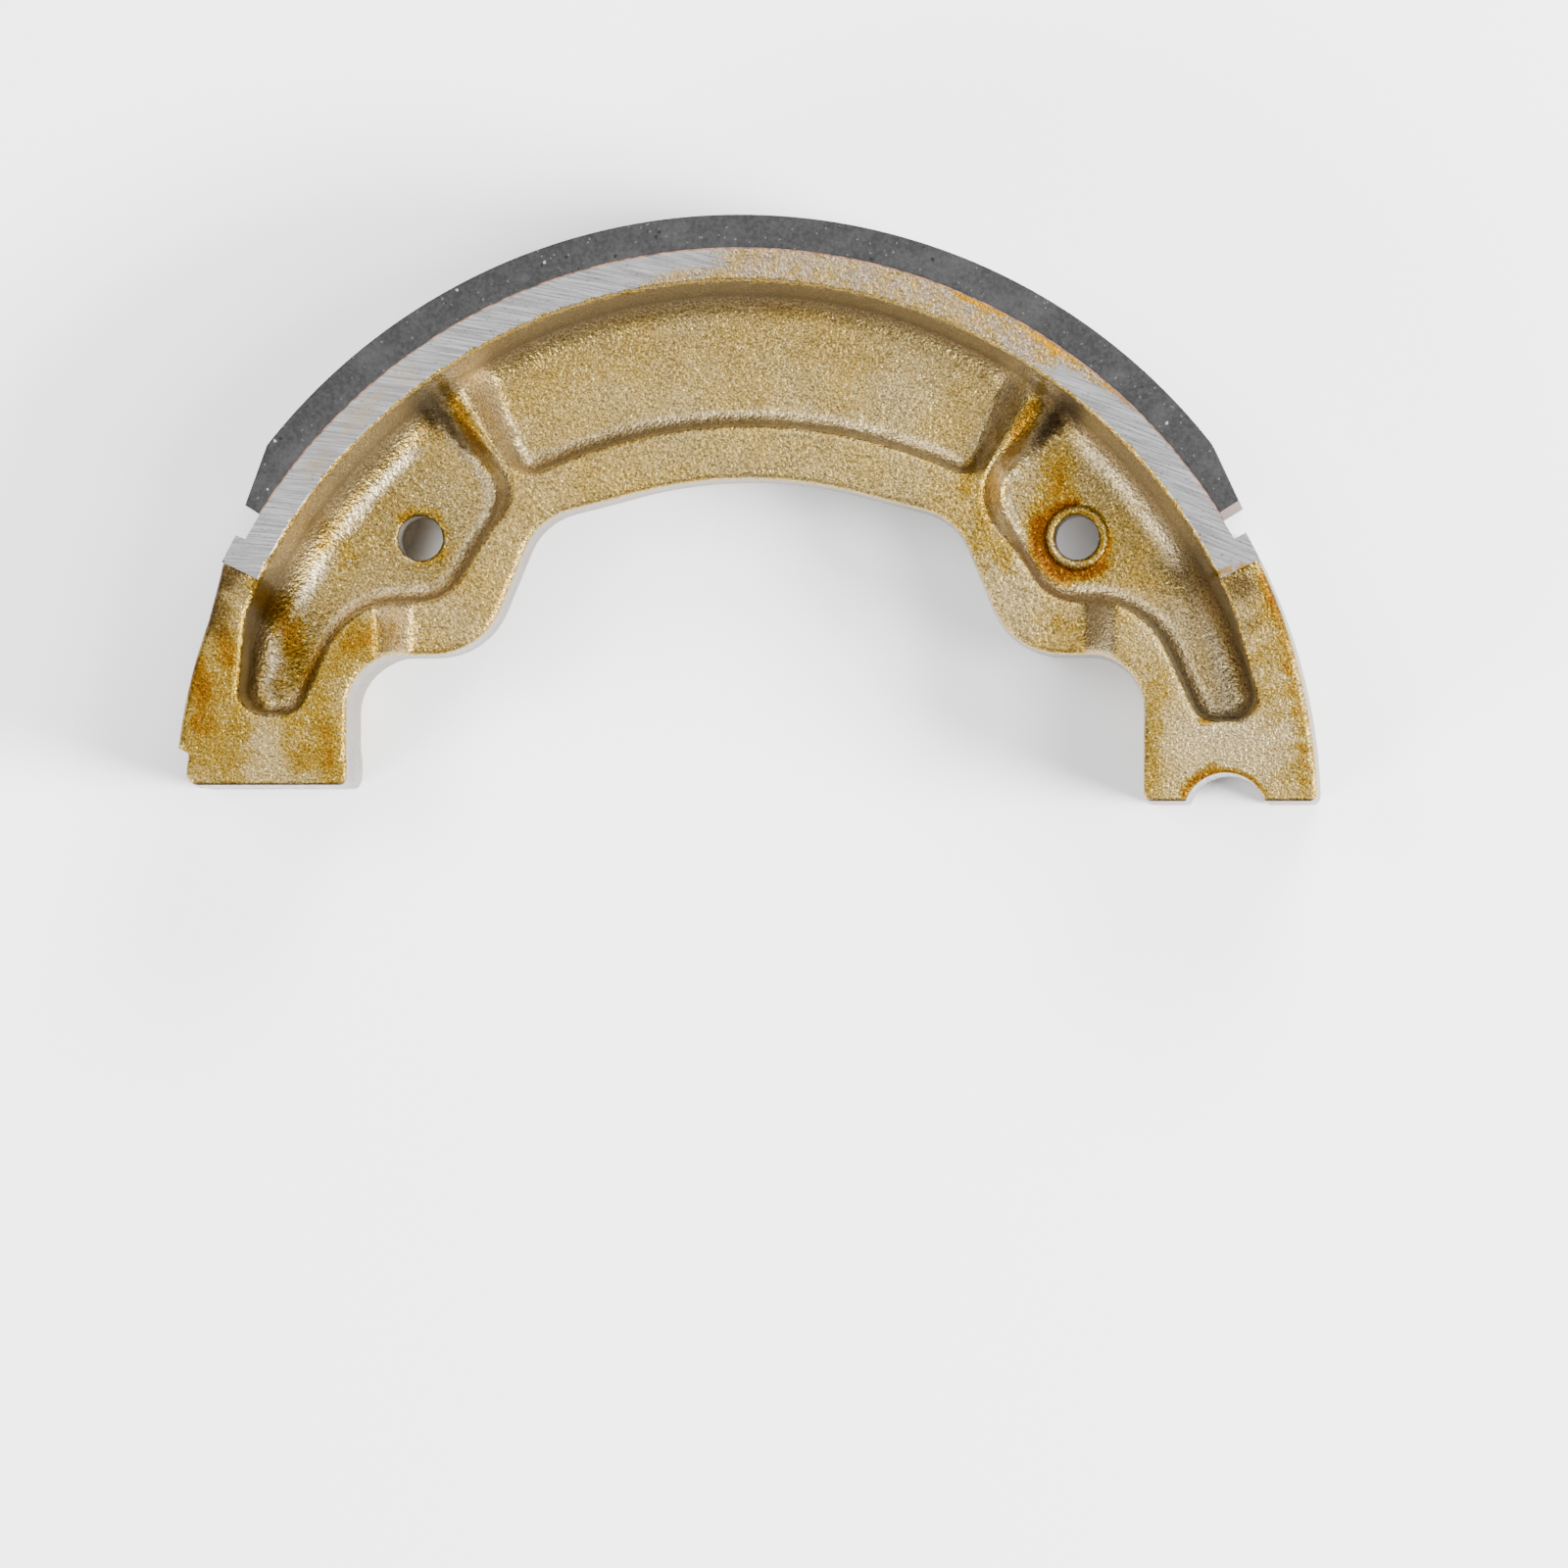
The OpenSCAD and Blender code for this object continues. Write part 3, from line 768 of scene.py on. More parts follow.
ORANGE = [
    (-55, 10.5, 7.5, 9, 0, 0.4), (-57, 17, 4.5, 9, 14, 0.5), (-46.6, 14, 4, 8, 10, 0.3),
    (27.5, 35, 2.6, 9, -14, 0.3), (34, 32, 5, 5, 0, 0.12), (58.2, 14, 3, 12, 10, 0.24),
    (-58.5, 14.2, 1.6, 4.6, 10, 1), (-55.8, 18.6, 1.2, 3.2, 14, 1), (-58.2, 10, 1.8, 1.8, 0, 0.85),
    (-57.3, 7.2, 3.2, 2.6, 0, 0.52), (-54.2, 9, 1.6, 2, 0, 0.6), (-54.4, 5.2, 1.6, 1.4, 0, 0.42),
    (-46.6, 15.6, 2, 4.6, 20, 0.62), (-44.7, 7.4, 1.4, 4.2, 6, 0.66), (-47.4, 6.2, 1.4, 2.6, -35, 0.62),
    (-41.2, 19.2, 2.8, 2, 25, 0.8), (-43.8, 16.6, 1.4, 2.4, -20, 0.6), (-49.4, 20, 1.7, 3.8, 20, 0.9),
    (-47.6, 15.4, 1.3, 2.6, 14, 0.6), (-51.6, 23.2, 1.2, 3.6, 24, 0.85), (-44.6, 29.6, 2.2, 3.4, 30, 0.38),
    (-30.1, 42.9, 0.8, 4.8, 30, 0.95), (32.2, 33.6, 1.1, 3.4, -30, 0.55), (34.2, 36.2, 1.7, 3.4, -12, 0.72),
    (30.6, 42.4, 0.9, 4.6, -28, 0.9), (26.6, 33.6, 1.2, 5.2, -6, 0.62), (29.2, 27.8, 1.4, 3.4, 34, 0.6),
    (24.6, 36.8, 0.8, 2.8, -10, 0.5), (34, 21, 3, 1.2, -14, 0.34), (16.8, 59.7, 4.6, 0.6, -16, 0.9),
    (25.6, 56.2, 5.4, 1.2, -25, 1), (33.4, 51.4, 4.2, 1.1, -34, 0.85), (41, 45.6, 4.6, 0.5, -42, 0.7),
    (53.6, 26.7, 2.3, 0.4, 17, 1), (57.5, 23.2, 0.7, 3.8, 22, 1), (59.6, 15, 0.5, 6.4, 13, 0.9),
    (61, 6.4, 0.5, 4.8, 4, 0.75), (50.3, 10.2, 0.9, 0.4, 0, 0.9), (44.9, 8, 1, 5.6, 0, 0.5),
    (45, 14.6, 1.6, 2.4, 20, 0.4),
]
FEWER = 31
# Brown stains, partly painted shade: the dark corners beside the ribs' heads are shade painted brown.
BROWN_AND_SHADE = [
    (-56.4, 25.6, 3, 1.8, 25, 1), (-57.2, 22.4, 2.2, 3.8, 16, 0.9), (-49.4, 16.4, 1.4, 3.6, 18, 0.35),
    (-33.8, 43.6, 2.2, 2, 36, 0.6), (-31.8, 42.4, 0.9, 4.4, 33, 0.75), (35.6, 43.6, 2.2, 2, -38, 0.65),
    (33.4, 42.2, 1, 4.4, -36, 0.8), (54.3, 24.6, 1.9, 1.9, 15, 0.85), (55, 21.4, 1.5, 2.4, 14, 0.5),
]
# Pocket floors darkened with painted shade, where the rim's wall shades them
SHADED_FLOORS = [
    (39.5, 34.5, 8, 9.5, 0, 1), (45.5, 25, 4.5, 7, 30, 0.6), (-38.5, 33, 7, 9.5, 0, 0.95),
    (-48.5, 19, 2.5, 8, 20, 0.6),
]
# Places with less gold in them
PALE = [
    (53, 8, 8.5, 6, 0, 0.75), (56.5, 17, 3, 6, 14, 0.5), (47, 20.5, 3, 3.5, 20, 0.6),
    (29.5, 24, 3, 5, 30, 0.4), (18, 46, 3, 3, 0, 0.4), (-30, 21.5, 8, 3, 10, 0.3),
    (-51.2, 5.8, 2.4, 3.4, 0, 0.5),
]
# Places that the stains leave free
CLEAN = [
    (-51.2, 6.2, 1.5, 3, 0, 1), (-52.8, 4.6, 1.2, 1.2, 0, 0.9), (-49.8, 4.8, 1.2, 1.4, 0, 0.9),
    (30.6, 26.4, 0.7, 2, 20, 0.95),
]
# Stains in the shape of rings: middle, inner and outer radius, the angle from +X where a ring is
# strongest, how far it reaches to both sides, and strength
HALOS = [
    (HOLES[0], 3.3, 6.0, 205, 75, 1.25), (HOLES[0], 3.3, 5.4, 275, 60, 1.2),
    (HOLES[0], 3.3, 5.0, 130, 60, 1.15), (HOLES[0], 3.3, 4.4, 320, 55, 0.9),
    (HOLES[0], 3.3, 3.9, 40, 60, 0.6), (HOLES[0], 2.3, 3.2, 60, 150, 0.5),
    (HOLES[1], 2.4, 4.0, 75, 85, 0.6), (HOLES[1], 2.4, 3.8, 300, 60, 0.5),
    (ANCHOR, 4.5, 5.7, 130, 45, 0.95), (ANCHOR, 4.5, 5.3, 70, 50, 0.7),
]
# Places of the rim that the cutter missed
UNCUT = [
    (5.5, 60, 8, 3.2, 0, 0.95), (-4.5, 58.2, 6, 1.2, 8, 0.8), (14, 58.4, 9.5, 3.2, -12, 1.2),
    (24, 55.4, 8.5, 3.2, -24, 1.2), (31.5, 51.4, 4, 2.2, -34, 1), (37, 48.4, 4, 0.7, -38, 0.8),
]
# Faint gold on the machined rim
SMUDGE = [
    (-41, 43.4, 4.2, 1.2, 46, 0.8), (-45.6, 38.4, 3, 1, 50, 0.7), (-36, 47.6, 3, 1.2, 38, 0.5),
]

# The painted highlight stripe in the side pockets along the fillet of the rim's wall: its distance from the
# wall, width and strength, and how much nearer it lies in the pocket's end
HIGHLIGHT_STRIPE_CAM = (4.35, 0.55, 2.3, 1.9)
HIGHLIGHT_STRIPE_ANCHOR = (2.9, 1.0, 1.3, 0.0)


def blobs(p, places):
    """How strongly each point is marked by soft oval spots."""
    result = np.zeros(len(p))
    for mid_x, mid_y, half_x, half_y, turn, strength in places:
        c, s = math.cos(math.radians(turn)), math.sin(math.radians(turn))
        x, y = p[:, 0] - mid_x, p[:, 1] - mid_y
        d = ((x * c + y * s) / half_x) ** 2 + ((y * c - x * s) / half_y) ** 2
        result = np.maximum(result, strength * np.exp(-0.65 * d ** 1.5))
    return result


def halos(p, places):
    """How strongly each point is marked by soft rings."""
    result = np.zeros(len(p))
    for centre, r_in, r_out, middle, reach, strength in places:
        to = p - np.asarray(centre)
        r = np.hypot(*to.T)
        turn = np.degrees(np.arctan2(to[:, 1], to[:, 0])) - middle
        off = np.abs((turn + 180) % 360 - 180)
        share = smooth((r - r_in + 0.15) / 0.3) * smooth((r_out - r) / (0.5 * (r_out - r_in)))
        result = np.maximum(result, strength * share * smooth((reach - off) / 25))
    return result


def side_masks(zones, upper):
    """Stains and tints of a side face, with painted highlights on fillets and edges and painted shade on
    floors, corners and the feet's low edges.
    """
    p, angle, in_pocket, d_outer = zones.points, zones.angle, zones.in_pocket, zones.d_outer
    x, y = p.T
    d_band = np.minimum(zones.d_mid, zones.d_side)
    # Gold tint along the edges, partly a painted highlight on their rounding.
    gilt_and_highlight = np.where(in_pocket, 0, np.maximum(0.8 * np.exp(-d_band / 0.7), np.exp(-zones.d_edge / 0.5)))
    gilt_and_highlight = np.maximum(gilt_and_highlight, ~zones.in_wall & (d_outer < 0.5))
    gilt_and_highlight = np.where((zones.r > RIM_IN + 0.6) & (angle < RIM_END), 0, gilt_and_highlight)

    # Painted highlight: a stripe along the fillet at the foot of the rim's wall.
    middle, width, strength, shift = np.where(x < 0, *np.array([HIGHLIGHT_STRIPE_CAM, HIGHLIGHT_STRIPE_ANCHOR])[..., None])
    off = (d_outer - middle + shift * smooth((angle - RIM_END + 2) / 13)) / width
    highlight_stripe = in_pocket * strength * np.exp(-off ** 2) * smooth((angle - 40) / 4)
    # Painted highlight along the fillets at the foot of the band's walls.
    foot = np.where(in_pocket, 1.3 * np.exp(-((d_band - 1.15) / 0.55) ** 2), 0)
    pale_and_highlight = np.maximum.reduce([foot, highlight_stripe, blobs(p, PALE)])

    marks = {"gilt_and_highlight": gilt_and_highlight, "pale_and_highlight": pale_and_highlight, "skin": np.zeros(len(p)), "floor_shade": blobs(p, SHADED_FLOORS) * in_pocket}
    if upper:
        # Painted shade: a dark line along the low edges of the feet.
        low_edge_shade = np.exp(-((y - np.where(x < 0, CAM_GAP, ANCHOR_GAP)) / 0.3) ** 2) * (np.abs(x) > INNER_X - 2)
        stain = np.maximum(blobs(p, ORANGE), halos(p, HALOS)) * (1 - blobs(p, CLEAN))
        return {**marks, "stain": stain, "brown_and_shade": np.maximum(blobs(p, BROWN_AND_SHADE), low_edge_shade),
                "uncut": blobs(p, UNCUT), "smudge": blobs(p, SMUDGE)}
    p = p * np.array([-1, 1])
    return {**marks, "stain": 0.5 * blobs(p, ORANGE[:FEWER]), "brown_and_shade": 0.5 * blobs(p, BROWN_AND_SHADE),
            "uncut": 0.9 * blobs(p, UNCUT), "smudge": blobs(p, SMUDGE)}


# Materials

class Graph:
    """The nodes of one material, with short ways to add and join them."""

    def __init__(self, name):
        self.material = bpy.data.materials.new(name)
        self.material.use_nodes = True
        self.tree = self.material.node_tree
        self.tree.nodes.clear()
        self.shader = self.add("BsdfPrincipled")
        output = self.add("OutputMaterial")
        self.tree.links.new(self.shader.outputs[0], output.inputs[0])
        self.place = self.add("TexCoord").outputs["Object"]

    def add(self, kind, inputs=None, **settings):
        node = self.tree.nodes.new("ShaderNode" + kind)
        for key, value in settings.items():
            setattr(node, key, value)
        for key, value in (inputs or {}).items():
            self.join(value, node.inputs[key])
        return node

    def join(self, value, socket):
        if isinstance(value, bpy.types.NodeSocket):
            self.tree.links.new(value, socket)
        elif isinstance(value, tuple) and len(value) == 3 and socket.type == "RGBA":
            socket.default_value = (*value, 1)
        else:
            socket.default_value = value

    def set(self, **values):
        for key, value in values.items():
            self.join(value, self.shader.inputs[key.replace("_", " ")])

    def math(self, operation, a, b=0.0, clamp=False):
        return self.add("Math", {0: a, 1: b}, operation=operation, use_clamp=clamp).outputs[0]

    def vector(self, operation, a, b):
        return self.add("VectorMath", {0: a, 1: b}, operation=operation).outputs[0]

    def times(self, a, b):
        return self.math("MULTIPLY", a, b)

    def plus(self, a, b):
        return self.math("ADD", a, b)

    def mask(self, name):
        return self.add("Attribute", attribute_name=name).outputs["Fac"]

    def rest(self, share):
        return self.math("SUBTRACT", 1.0, share)

    def swing(self, noise, reach):
        """A noise as a number that goes both ways from 0."""
        return self.times(self.math("SUBTRACT", noise, 0.5), reach)

    def noise(self, per_m, detail=2.0, roughness=0.5, place=None):
        inputs = {"Vector": place or self.place, "Scale": per_m, "Detail": detail, "Roughness": roughness}
        return self.add("TexNoise", inputs).outputs[0]

    def step(self, value, low, high):
        """0 below low and 1 above high, with a soft change between."""
        return self.add("MapRange", {0: value, 1: low, 2: high, 3: 0.0, 4: 1.0},
                        interpolation_type="SMOOTHSTEP").outputs[0]

    def mix(self, kind, first, out, share, a, b, **settings):
        """A Mix node whose two inputs of this kind begin at number first, and whose output is number out."""
        node = self.add("Mix", data_type=kind, **settings)
        for number, value in ((0, share), (first, a), (first + 1, b)):
            self.join(value, node.inputs[number])
        return node.outputs[out]

    def blend(self, share, a, b):
        return self.mix("RGBA", 6, 2, share, a, b)

    def scaled(self, colour, factor):
        """A colour made lighter or darker by a number."""
        grey = self.add("CombineColor", {0: factor, 1: factor, 2: factor}).outputs[0]
        return self.mix("RGBA", 6, 2, 1.0, colour, grey, blend_type="MULTIPLY")

    def between(self, share, a, b):
        """A number between a and b."""
        return self.mix("FLOAT", 2, 0, share, a, b)

    def arcs(self, centre, across, along):
        """The place as distance from a far centre and as X, each scaled, for the scratches of a cutter."""
        to = self.vector("SUBTRACT", self.place, centre)
        away = self.times(self.add("VectorMath", {0: to}, operation="LENGTH").outputs["Value"], across)
        x = self.times(self.add("SeparateXYZ", {0: self.place}).outputs[0], along)
        return self.add("CombineXYZ", {0: away, 1: x}).outputs[0]

    def upright(self):
        """How far a face looks up or down: 1 for a side face, 0 for a wall."""
        normal = self.add("NewGeometry").outputs["Normal"]
        return self.math("ABSOLUTE", self.add("SeparateXYZ", {0: normal}).outputs[2])

    def bump(self, height, depth_mm):
        return self.add("Bump", {"Height": height, "Distance": depth_mm * MM}).outputs[0]

    def specks(self, per_m, share):
        """1 in a share of small random cells."""
        cells = self.add("TexVoronoi", {"Vector": self.place, "Scale": per_m})
        pick = self.add("SeparateColor", {0: cells.outputs["Color"]}).outputs[0]
        return self.step(pick, 1 - share, 1 - share * 0.7)


# Colours of the alloy, some as a pair that a noise or a mask blends. Each stain has the strength
# from which it begins, the one where it is full, and how much it covers.
CAST = (0.238, 0.163, 0.052), (0.234, 0.147, 0.028)
CAST_CLOUD = (0.217, 0.163, 0.070)
PALE_AND_HIGHLIGHT = (0.37, 0.305, 0.19), (0.56, 0.46, 0.28)
SLOPE_LIGHT = (0.450, 0.370, 0.235)
WALL_SHADE = (0.074, 0.061, 0.046)
GILT_AND_HIGHLIGHT = (0.40, 0.260, 0.045)
SKIN = (0.205, 0.180, 0.158), (0.205, 0.165, 0.108)
STAINS = ((0.08, 0.45, 0.82, (0.165, 0.097, 0.004)), (0.45, 0.85, 0.9, (0.130, 0.056, 0.0)),
          (0.8, 1.15, 0.95, (0.088, 0.026, 0.0)))
BROWN_STAIN_AND_SHADE = (0.035, 0.019, 0.004)
GLINT = (0.60, 0.50, 0.27), (0.60, 0.36, 0.03)
GROUND = (0.168, 0.165, 0.167), (0.325, 0.318, 0.319)
GROUND_BAND = (0.190, 0.180, 0.188)
GROUND_SMUDGE = (0.26, 0.20, 0.10)
GROUND_STAIN = (0.25, 0.125, 0.006)
BARE = (0.225, 0.172, 0.110), (0.245, 0.162, 0.052)
BARE_STAIN = (0.30, 0.145, 0.002)

# The far point in metres round which the cutter of the rim turned, and the waves per metre of its
# scratches across and along them, and on walls that were cut along the drum axis
CUT_CENTRE = (-0.085, -0.296, 0.0)
SCRATCHES = (5200, 150)
SCRATCH_BANDS = (1100, 40)
WALL_SCRATCHES = (2600, 2600, 60)


class Alloy(Graph):
    """The casting's material: a blasted and stained skin, and machined faces with uncut places."""

    def __init__(self):
        super().__init__("cast_alloy")
        self.grain = self.noise(4300, 1.5)
        self.patches = self.noise(150, 3.0)
        self.wide = self.noise(32, 2.0)
        self.fine = self.noise(800, 3.0, 0.7)
        self.uneven = self.plus(self.swing(self.fine, 0.9), self.swing(self.patches, 0.7))
        self.steep = self.rest(self.step(self.upright(), 0.03, 0.24))
        self.skin = self.mask("skin")
        self.gilt_and_highlight = self.step(self.plus(self.mask("gilt_and_highlight"), self.uneven), 0.25, 0.95)
        self.marked = self.plus(self.mask("stain"), self.uneven)
        self.stain = self.step(self.marked, 0.45, 0.85)
        self.brown_and_shade = self.step(self.plus(self.mask("brown_and_shade"), self.times(self.uneven, 0.6)), 0.15, 0.95)
        self.rough = self.rest(self.times(self.steep, self.between(self.skin, 0.8, 0.4)))
        glint = self.times(self.step(self.noise(3400, 1.0), 0.60, 0.72), self.rough)
        self.glint = self.times(glint, self.rest(self.brown_and_shade))
        arcs, walls = self.arcs(CUT_CENTRE, *SCRATCHES), self.vector("MULTIPLY", self.place, WALL_SCRATCHES)
        self.lines = self.between(self.steep, self.noise(1.0, 2.0, 0.6, arcs), self.noise(1.0, 2.0, 0.6, walls))
        ragged = self.plus(self.times(self.uneven, 0.4), self.swing(self.lines, 0.9))
        self.uncut = self.step(self.plus(self.mask("uncut"), ragged), 0.25, 0.7)

    def grainy(self, colour, low, high):
        return self.scaled(colour, self.between(self.step(self.grain, 0.3, 0.7), low, high))

    def cast(self):
        """Colour of the cast skin, with painted shade on walls and floors and painted light on slopes, fillets
        and edges.
        """
        pale_and_highlight = self.mask("pale_and_highlight")
        slope_lit = self.rest(self.step(self.upright(), 0.40, 0.90))
        colour = self.blend(self.step(self.patches, 0.35, 0.65), *CAST)
        colour = self.blend(self.times(self.step(self.wide, 0.4, 0.65), 0.4), colour, CAST_CLOUD)
        # Painted shade: some pocket floors are darkened.
        colour = self.scaled(colour, self.between(self.mask("floor_shade"), 1.0, 0.70))
        # Paler tone where there is less gold, and painted highlights on the fillets.
        colour = self.blend(self.math("MULTIPLY", pale_and_highlight, 0.5, clamp=True), colour,
                            self.blend(self.step(pale_and_highlight, 1.2, 2.2), *PALE_AND_HIGHLIGHT))
        # Painted light: faces that slope between the side face and a wall are lightened.
        colour = self.blend(self.times(slope_lit, 0.75), colour, SLOPE_LIGHT)
        # Painted shade: steep walls are darkened towards a dark brown-grey.
        colour = self.blend(self.times(self.steep, 0.85), colour, WALL_SHADE)
        # Gold tint and painted edge highlight.
        colour = self.blend(self.times(self.gilt_and_highlight, 0.6), colour, GILT_AND_HIGHLIGHT)
        colour = self.blend(self.skin, colour, self.blend(self.step(self.wide, 0.35, 0.65), *SKIN))
        for low, high, share, stain in STAINS:
            colour = self.blend(self.times(self.step(self.marked, low, high), share), colour, stain)
        # Brown stains, and painted shade in corners and along the feet's low edges.
        colour = self.blend(self.times(self.brown_and_shade, 0.92), colour, BROWN_STAIN_AND_SHADE)
        colour = self.blend(self.rough, colour, self.grainy(colour, 0.46, 1.34))
        glow = self.blend(self.math("MAXIMUM", self.stain, self.gilt_and_highlight), *GLINT)
        return self.blend(self.times(self.glint, self.between(self.stain, 0.42, 0.22)), colour, glow)

    def face(self):
        """Colour of the machined faces, with the places that the cutter missed."""
        bands = self.noise(1.0, 1.0, 0.5, self.arcs(CUT_CENTRE, *SCRATCH_BANDS))
        bands = self.between(self.steep, bands, 0.45)
        smudge = self.step(self.plus(self.mask("smudge"), self.uneven), 0.2, 0.9)
        ground = self.blend(self.step(self.lines, 0.36, 0.64), *GROUND)
        ground = self.blend(self.times(self.step(bands, 0.42, 0.7), 0.4), ground, GROUND_BAND)
        ground = self.blend(self.times(smudge, 0.5), ground, GROUND_SMUDGE)
        ground = self.blend(self.times(self.stain, 0.8), ground, GROUND_STAIN)
        bare = self.blend(self.step(self.fine, 0.38, 0.66), *BARE)
        bare = self.blend(self.times(self.stain, 0.95), bare, BARE_STAIN)
        return self.blend(self.uncut, ground, self.grainy(bare, 0.60, 1.25))


def alloy_material():
    g = Alloy()
    machined = g.step(g.mask("machined"), 0.45, 0.55)
    smooth_face = g.times(machined, g.rest(g.uncut))
    cast_roughness = g.between(g.math("MAXIMUM", g.stain, g.brown_and_shade), 0.39, 0.48)
    g.set(Base_Color=g.blend(machined, g.cast(), g.face()))
    g.set(Metallic=0.94)
    g.set(Roughness=g.plus(g.between(smooth_face, cast_roughness, 0.40), g.times(g.glint, -0.12)))
    height = g.plus(g.times(g.grain, 0.6), g.times(g.noise(2100, 1.0), 0.9))
    cast_normal = g.bump(g.times(height, g.rough), 0.13)
    g.set(Normal=g.mix("VECTOR", 4, 1, smooth_face, cast_normal, g.bump(g.lines, 0.02)))
    return g.material


def lining_material():
    g = Graph("friction_composite")
    fibres = g.noise(2200, 3.0, 0.65)
    clouds = g.noise(260, 3.0)
    colour = g.blend(g.step(fibres, 0.3, 0.7), (0.0115, 0.0113, 0.0116), (0.0242, 0.0236, 0.0239))
    colour = g.blend(g.times(g.step(clouds, 0.45, 0.75), 0.3), colour, (0.050, 0.049, 0.049))
    colour = g.blend(g.times(g.specks(5200, 0.008), 0.4), colour, (0.13, 0.12, 0.11))
    colour = g.blend(g.times(g.specks(3800, 0.0012), 0.9), colour, (0.24, 0.23, 0.21))
    colour = g.blend(g.times(g.specks(3000, 0.004), 0.9), colour, (0.004, 0.004, 0.004))
    end = g.step(g.plus(g.mask("end"), g.swing(fibres, 1.0)), 0.35, 0.8)
    colour = g.blend(g.times(end, 0.8), colour, (0.27, 0.20, 0.17))
    worn = g.step(g.mask("worn"), 0.3, 0.9)
    colour = g.blend(g.times(worn, 0.35), colour, (0.12, 0.12, 0.125))
    g.set(Base_Color=colour, Metallic=0.0, Roughness=0.8)
    g.set(Specular_IOR_Level=0.22)
    g.set(Normal=g.bump(g.plus(fibres, clouds), 0.06))
    return g.material


def bond_material():
    g = Graph("bond_adhesive")
    change = g.noise(900, 3.0)
    colour = g.blend(g.step(change, 0.35, 0.65), (0.035, 0.018, 0.012), (0.20, 0.085, 0.04))
    g.set(Base_Color=colour, Metallic=0.0, Roughness=0.6)
    g.set(Normal=g.bump(change, 0.05))
    return g.material


def floor_material():
    g = Graph("floor_paper")
    g.set(Base_Color=(0.97, 0.97, 0.98), Metallic=0.0, Roughness=0.7)
    return g.material


# Lining and bond

def lining_outline():
    """The lining seen along the drum axis, from the cam end over the top to the anchor end."""
    half = LINING_SPAN / 2
    outer = arc(DRUM_R, -half + BEVEL_SPAN, half - BEVEL_SPAN, 0.5)
    inner = arc(SEAT_R + BOND_T, half, -half, 0.5)
    ends = {-1: ray(-half, DRUM_R - BEVEL_CAM), 1: ray(half, DRUM_R - BEVEL_ANCHOR)}
    points = [ends[-1]] + outer + [ends[1]] + inner
    return divided(points, 0.5)


def prism(name, outline, levels, edge=0.0, crumble=0.0):
    """A closed prism over the shoe's whole width, whose edges may be slightly rounded and crumbled."""
    n = len(outline)
    inward = left_of(outline)
    turn = np.arange(n)
    wear = crumble * (0.5 + 0.5 * np.sin(turn * 1.31 + 2 * np.sin(turn * 0.37)) * np.sin(turn * 0.83 + 1))
    steps = np.linspace(0, math.pi / 2, 4) if edge else [0.0]
    edges = [(outline + inward * ((edge + wear) * (1 - math.sin(t)))[:, None], edge * (1 - math.cos(t)))
             for t in steps]
    rows = [(xy, SHOE_W - inset) for xy, inset in edges]
    rows += [(outline, z) for z in np.linspace(SHOE_W - edge, edge, levels)[1:-1]]
    rows += edges[::-1]
    vertices = np.concatenate([np.column_stack([xy, np.full(n, z)]) for xy, z in rows])
    faces = [(k + i, k + (i + 1) % n, k + n + (i + 1) % n, k + n + i)
             for k in range(0, (len(rows) - 1) * n, n) for i in range(n)]
    last = (len(rows) - 1) * n
    faces += [tuple(range(n - 1, -1, -1)), tuple(range(last, last + n))]
    obj = mesh_object(name, vertices * MM, faces)
    mark_sharp(obj, 35)
    return obj


def build_lining():
    """The lining, with masks for its two end faces and for its rubbing surface."""
    lining = prism("brake_shoe_lining", lining_outline()[::-1], 14, edge=0.12, crumble=0.06)
    x, y, z = np.array([v.co for v in lining.data.vertices]).T / MM
    side = (z > 0.05) & (z < SHOE_W - 0.05)
    end = (np.abs(np.degrees(np.arctan2(x, y))) > LINING_SPAN / 2 - 0.08) & side
    set_masks(lining, {"end": end, "worn": (np.hypot(x, y) > DRUM_R - 0.02) & side})
    return lining


def build_bond():
    half = LINING_SPAN / 2
    points = arc(SEAT_R, -half, half, 0.5) + arc(SEAT_R + BOND_T, half, -half, 0.5)
    return prism("brake_shoe_bond", np.array(points)[::-1], 3)


# Camera, lights and floor

PHOTO_SIZE = 1600
PX_PER_MM = 9.436
CAMERA_AWAY = 2200.0
CAMERA_TILT = (0.0397, -0.0180)
AIM = np.array([4.88, 3.36, SHOE_W])
SENSOR = 36.0


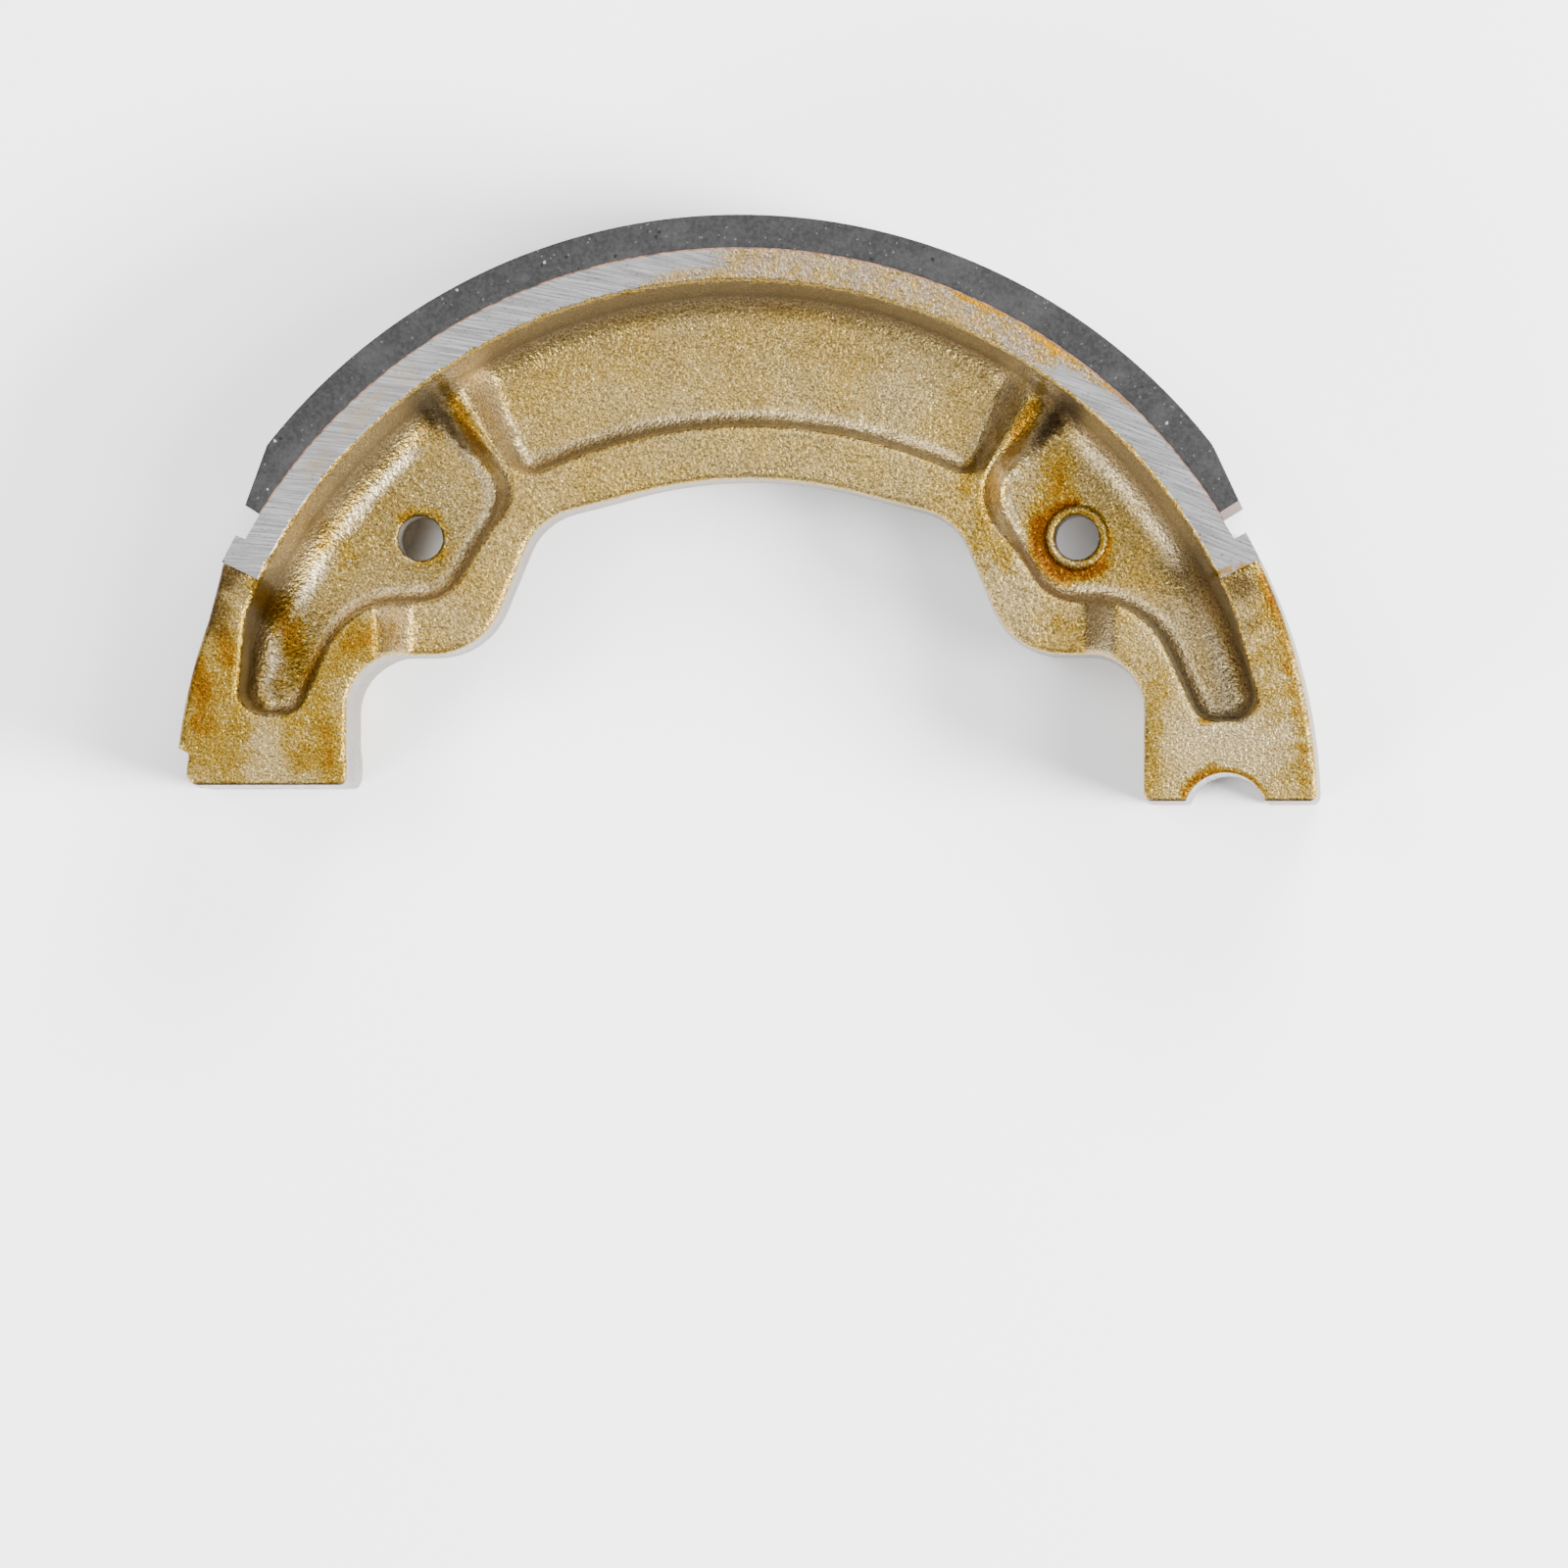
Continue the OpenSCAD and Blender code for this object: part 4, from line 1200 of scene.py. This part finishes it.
def make_camera():
    data = bpy.data.cameras.new("camera")
    data.sensor_width = SENSOR
    data.lens = PX_PER_MM * CAMERA_AWAY / PHOTO_SIZE * SENSOR
    data.clip_end = 50
    camera = bpy.data.objects.new("camera", data)
    bpy.context.scene.collection.objects.link(camera)
    back = Vector((*CAMERA_TILT, 1)).normalized()
    right = Vector((0, 1, 0)).cross(back).normalized()
    up = back.cross(right)
    turn = Matrix((right, up, back)).transposed().to_4x4()
    camera.matrix_world = Matrix.Translation(Vector(AIM * MM) + back * CAMERA_AWAY * MM) @ turn
    bpy.context.scene.camera = camera


def area_light(name, place, size, power, colour=(1, 1, 1)):
    data = bpy.data.lights.new(name, "AREA")
    data.shape = "DISK"
    data.size = size
    data.energy = power
    data.color = colour
    light = bpy.data.objects.new(name, data)
    light.location = place
    light.rotation_euler = (-Vector(place)).to_track_quat("-Z", "Y").to_euler()
    light.visible_camera = False
    bpy.context.scene.collection.objects.link(light)


def make_lights():
    area_light("key", (0.93, -0.18, 0.76), 0.45, 46)
    area_light("back", (0.35, 0.90, 0.95), 0.6, 20)
    area_light("left", (-0.80, -0.55, 0.62), 0.6, 17, (0.97, 0.98, 1.0))
    area_light("high_right", (0.75, -0.05, 1.55), 0.5, 22)
    area_light("high_left", (-0.62, 0.35, 1.60), 0.5, 14)
    world = bpy.data.worlds.new("studio")
    world.use_nodes = True
    background = world.node_tree.nodes["Background"]
    background.inputs["Color"].default_value = (0.95, 0.96, 1.0, 1)
    background.inputs["Strength"].default_value = 0.36
    bpy.context.scene.world = world


def make_floor():
    size = 4.0
    floor = mesh_object("floor", [(-size, -size, 0), (size, -size, 0), (size, size, 0), (-size, size, 0)],
                        [(0, 1, 2, 3)])
    floor.data.materials.append(floor_material())


make_camera()
make_lights()
make_floor()

casting = build_casting()
lining = build_lining()
bond = build_bond()
pieces = [(casting, "shoe_casting", "cast_alloy", alloy_material()),
          (bond, "bond_film", "bond_adhesive", bond_material()),
          (lining, "friction_lining", "friction_composite", lining_material())]
for piece, node, slot, material in pieces:
    piece.data.materials.append(material)
    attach(piece, "root")
    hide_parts(node)
